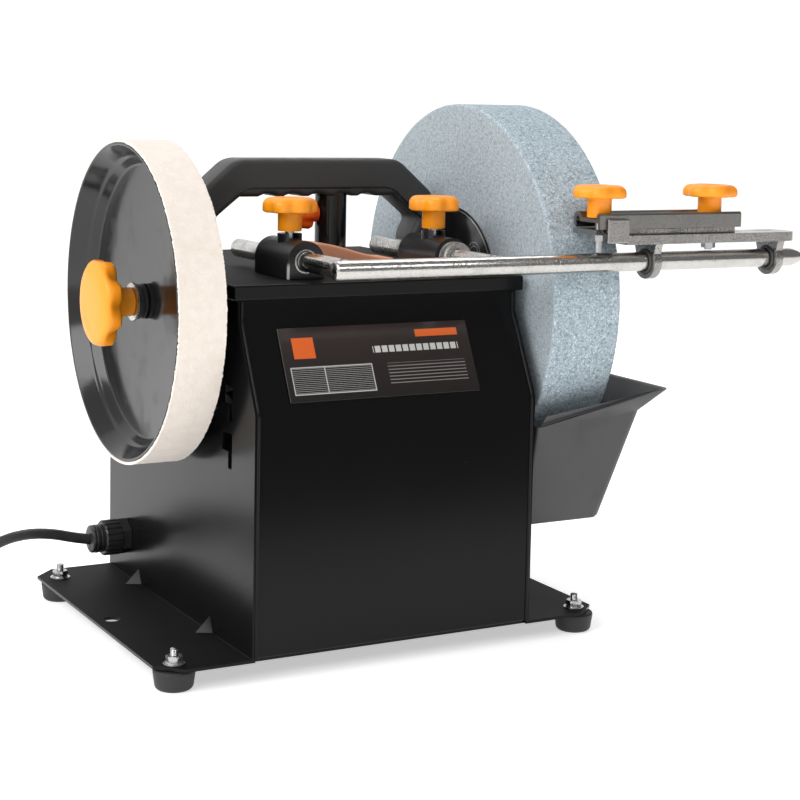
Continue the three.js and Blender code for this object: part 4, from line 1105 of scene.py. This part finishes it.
jig()

# ------------------------------------------------------------------ water trough


def trough_ring(level, amount, corner, points=12):
    """A rectangle with round corners, tight ones against the housing and wider ones away from it, moved
    inwards by amount. level is (right, half)."""
    right, half = level
    loop = []
    corners = [(right, half, 0, corner), (98, half, 1, 2.5), (98, -half, 2, 2.5), (right, -half, 3, corner)]
    for x, y, quarter, radius in corners:
        radius = max(radius - amount, 0.6)
        inner_x = x - amount - radius if x > 98 else x + amount + radius
        inner_y = y - math.copysign(amount + radius, y)
        angle = quarter * math.pi / 2 + np.linspace(0, math.pi / 2, points)
        loop.extend(zip(inner_x + radius * np.cos(angle), inner_y + radius * np.sin(angle)))
    return np.array(loop)


def water_trough():
    """An open tub: outside rings up from the floor, over a rounded rim and down inside. The side against the
    housing is lower, so a ring's height there is never above low_side."""
    floor, crease, rim, low_side, wall = 76, 149, 165.5, 143, 3
    def size_at(z):
        right = np.interp(z, (floor, crease, rim), (160, 176, 186))
        half = np.interp(z, (floor, crease, rim), (101, 121, 139))
        return right, half

    rows = [(floor, 2.6), (floor + 0.5, 0.9), (floor + 2.2, 0)]
    rows += [(z, 0) for z in (100, 125, crease - 3, crease - 1, crease, crease + 1, crease + 3, rim - 1.2)]
    rows += [(rim - 0.35, 0.35), (rim, 1.2), (rim, 1.8), (rim - 0.35, 2.65), (rim - 1.2, wall)]
    rows += [(z, wall) for z in (crease + 3, crease + 1, crease, crease - 1, crease - 3, 125, 100, floor + 7)]
    rows += [(floor + 4, wall + 1.2), (floor + 3, wall + 4)]
    rings = []
    for z, amount in rows:
        loop = trough_ring(size_at(z), amount, 7)
        near = ease((102.5 - loop[:, 0]) / 1.5)
        height = np.where(z > low_side, z + (low_side - z) * near, z)
        if z > low_side:
            held = trough_ring(size_at(low_side), amount, 7)
            loop = loop + (held - loop) * near[:, None] * np.array([0, 1])
        rings.append(np.column_stack([loop, height]))
    verts, faces = loft(rings)
    make_piece(
        "trough_tub", verts, outward(verts, faces), "trough", "trough", "grey_plastic", ["water_trough"], 35,
    )
    for number, side in enumerate((-1, 1), 1):
        hook = slab(rounded_loop([(90.3, 126.6), (99, 126.6), (99, 136), (90.3, 136)], 1.0),
                    tuple(sorted((side * 85.4, side * 81.2))), "y", 0.6)
        make_piece(f"trough_hook_{number}", *hook, "trough", "trough", "grey_plastic")


water_trough()

# ------------------------------------------------------------------ cable gland


def cable_gland():
    """A hexagon seat, a ribbed nut and a grooved clamp ring round the cord."""
    y, z = GLAND_YZ
    root = -HOUSING_HALF - 0.3

    def hexed(angle, row):
        return np.where((row > 0) & (row < 3), 0.9 * hexagon(angle), 1)

    seat_rows = [(root, 4), (root, 11.6), (root - 6, 11.6), (root - 6, 4)]
    seat = turned(seat_rows, (0, y, z), "x", 96, ripple=hexed)
    nut_rows = [
        (-101.4, 4), (-101.4, 11), (-102, 11.9), (-112, 11.9), (-112.8, 11.2), (-113, 9), (-113, 4),
    ]

    def ribbed(angle, row):
        return 1 - 0.075 * ((row > 1) & (row < 5)) * (np.cos(18 * angle) > 0.1)

    nut = turned(nut_rows, (0, y, z), "x", 216, ripple=ribbed)
    clamp_rows = rounded([
        (-112.8, 3.6), (-112.8, 9.2), (-115.2, 9.5), (-115.4, 8.4), (-116.2, 8.4), (-116.4, 9.5),
        (-118.4, 9.5), (-118.6, 8.4), (-119.4, 8.4), (-119.6, 9.4), (-121, 9), (-121.5, 7.6), (-121.5, 3.6),
    ], 0.3)
    clamp = turned(clamp_rows, (0, y, z), "x", 64)
    make_piece(
        "gland_body", *merged(seat, nut, clamp), "nylon", "machine_body", "dark_plastic", ["cable_gland"], 30,
    )


cable_gland()

# ------------------------------------------------------------------ stage


def light_sky():
    """A sky that is bright towards the left and fades to a dim grey towards the front right and overhead."""
    world = bpy.data.worlds.new("studio")
    world.use_nodes = True
    tree = world.node_tree
    place = tree.nodes.new("ShaderNodeTexCoord")
    lean = tree.nodes.new("ShaderNodeVectorMath")
    lean.operation = "DOT_PRODUCT"
    lean.inputs[1].default_value = (-0.93, 0.2, -0.3)
    level = tree.nodes.new("ShaderNodeMapRange")
    level.interpolation_type = "SMOOTHSTEP"
    for socket, value in zip(("From Min", "From Max", "To Min", "To Max"), (-0.5, 0.8, 0.22, 0.95)):
        level.inputs[socket].default_value = value
    tree.links.new(place.outputs["Generated"], lean.inputs[0])
    tree.links.new(lean.outputs["Value"], level.inputs["Value"])
    tree.links.new(level.outputs["Result"], tree.nodes["Background"].inputs["Strength"])
    tree.nodes["Background"].inputs["Color"].default_value = (1, 1, 1, 1)
    bpy.context.scene.world = world


def make_stage():
    """A wide pale floor with a curved rise behind, and soft lights: one large one each from the left, the
    front and above."""
    run = np.concatenate([np.linspace(-6, 5, 12), 5 + 2 * np.sin(np.linspace(0.1, math.pi / 2, 12)), [7, 7]])
    rise = np.concatenate([np.zeros(12), 2 - 2 * np.cos(np.linspace(0.1, math.pi / 2, 12)), [4, 9]])
    wide = np.linspace(-12, 12, 9)
    sweep = np.stack(np.broadcast_arrays(wide[None, :], run[:, None], rise[:, None]), -1)
    mesh = bpy.data.meshes.new("studio_sweep")
    faces = grid_faces(len(run), len(wide))
    faces = faces[np.arange(len(faces)) % len(wide) != len(wide) - 1]
    mesh.from_pydata(sweep.reshape(-1, 3).tolist(), [], faces.tolist())
    mesh.shade_smooth()
    finish = Finish("studio_white")
    tone = finish.blend(finish.noise(2, 2), (0.93, 0.93, 0.93), (0.95, 0.95, 0.95))
    lit = {"Specular_IOR_Level": 0.0, "Emission_Color": (1, 1, 1, 1), "Emission_Strength": 0.5}
    mesh.materials.append(finish.close(tone, 0.9, **lit))
    floor = bpy.data.objects.new("studio_sweep", mesh)
    bpy.context.collection.objects.link(floor)

    light_sky()
    lights = [
        ("key", (-1.7, -0.5, 1.3), 1.5, 24),
        ("front", (0.2, -2.2, 1.9), 1.0, 9),
        ("top", (0.3, 0.5, 2.2), 1.4, 15),
    ]
    for name, place, size, power in lights:
        light = bpy.data.lights.new(name, "AREA")
        light.shape = "RECTANGLE"
        light.size = size
        light.size_y = size * 0.7
        light.energy = power
        lamp = bpy.data.objects.new(name, light)
        lamp.location = place
        aim = Vector((0, 0, 0.15)) - Vector(place)
        lamp.rotation_euler = aim.to_track_quat("-Z", "Y").to_euler()
        bpy.context.collection.objects.link(lamp)


make_stage()
bpy.context.scene.view_settings.view_transform = "Standard"
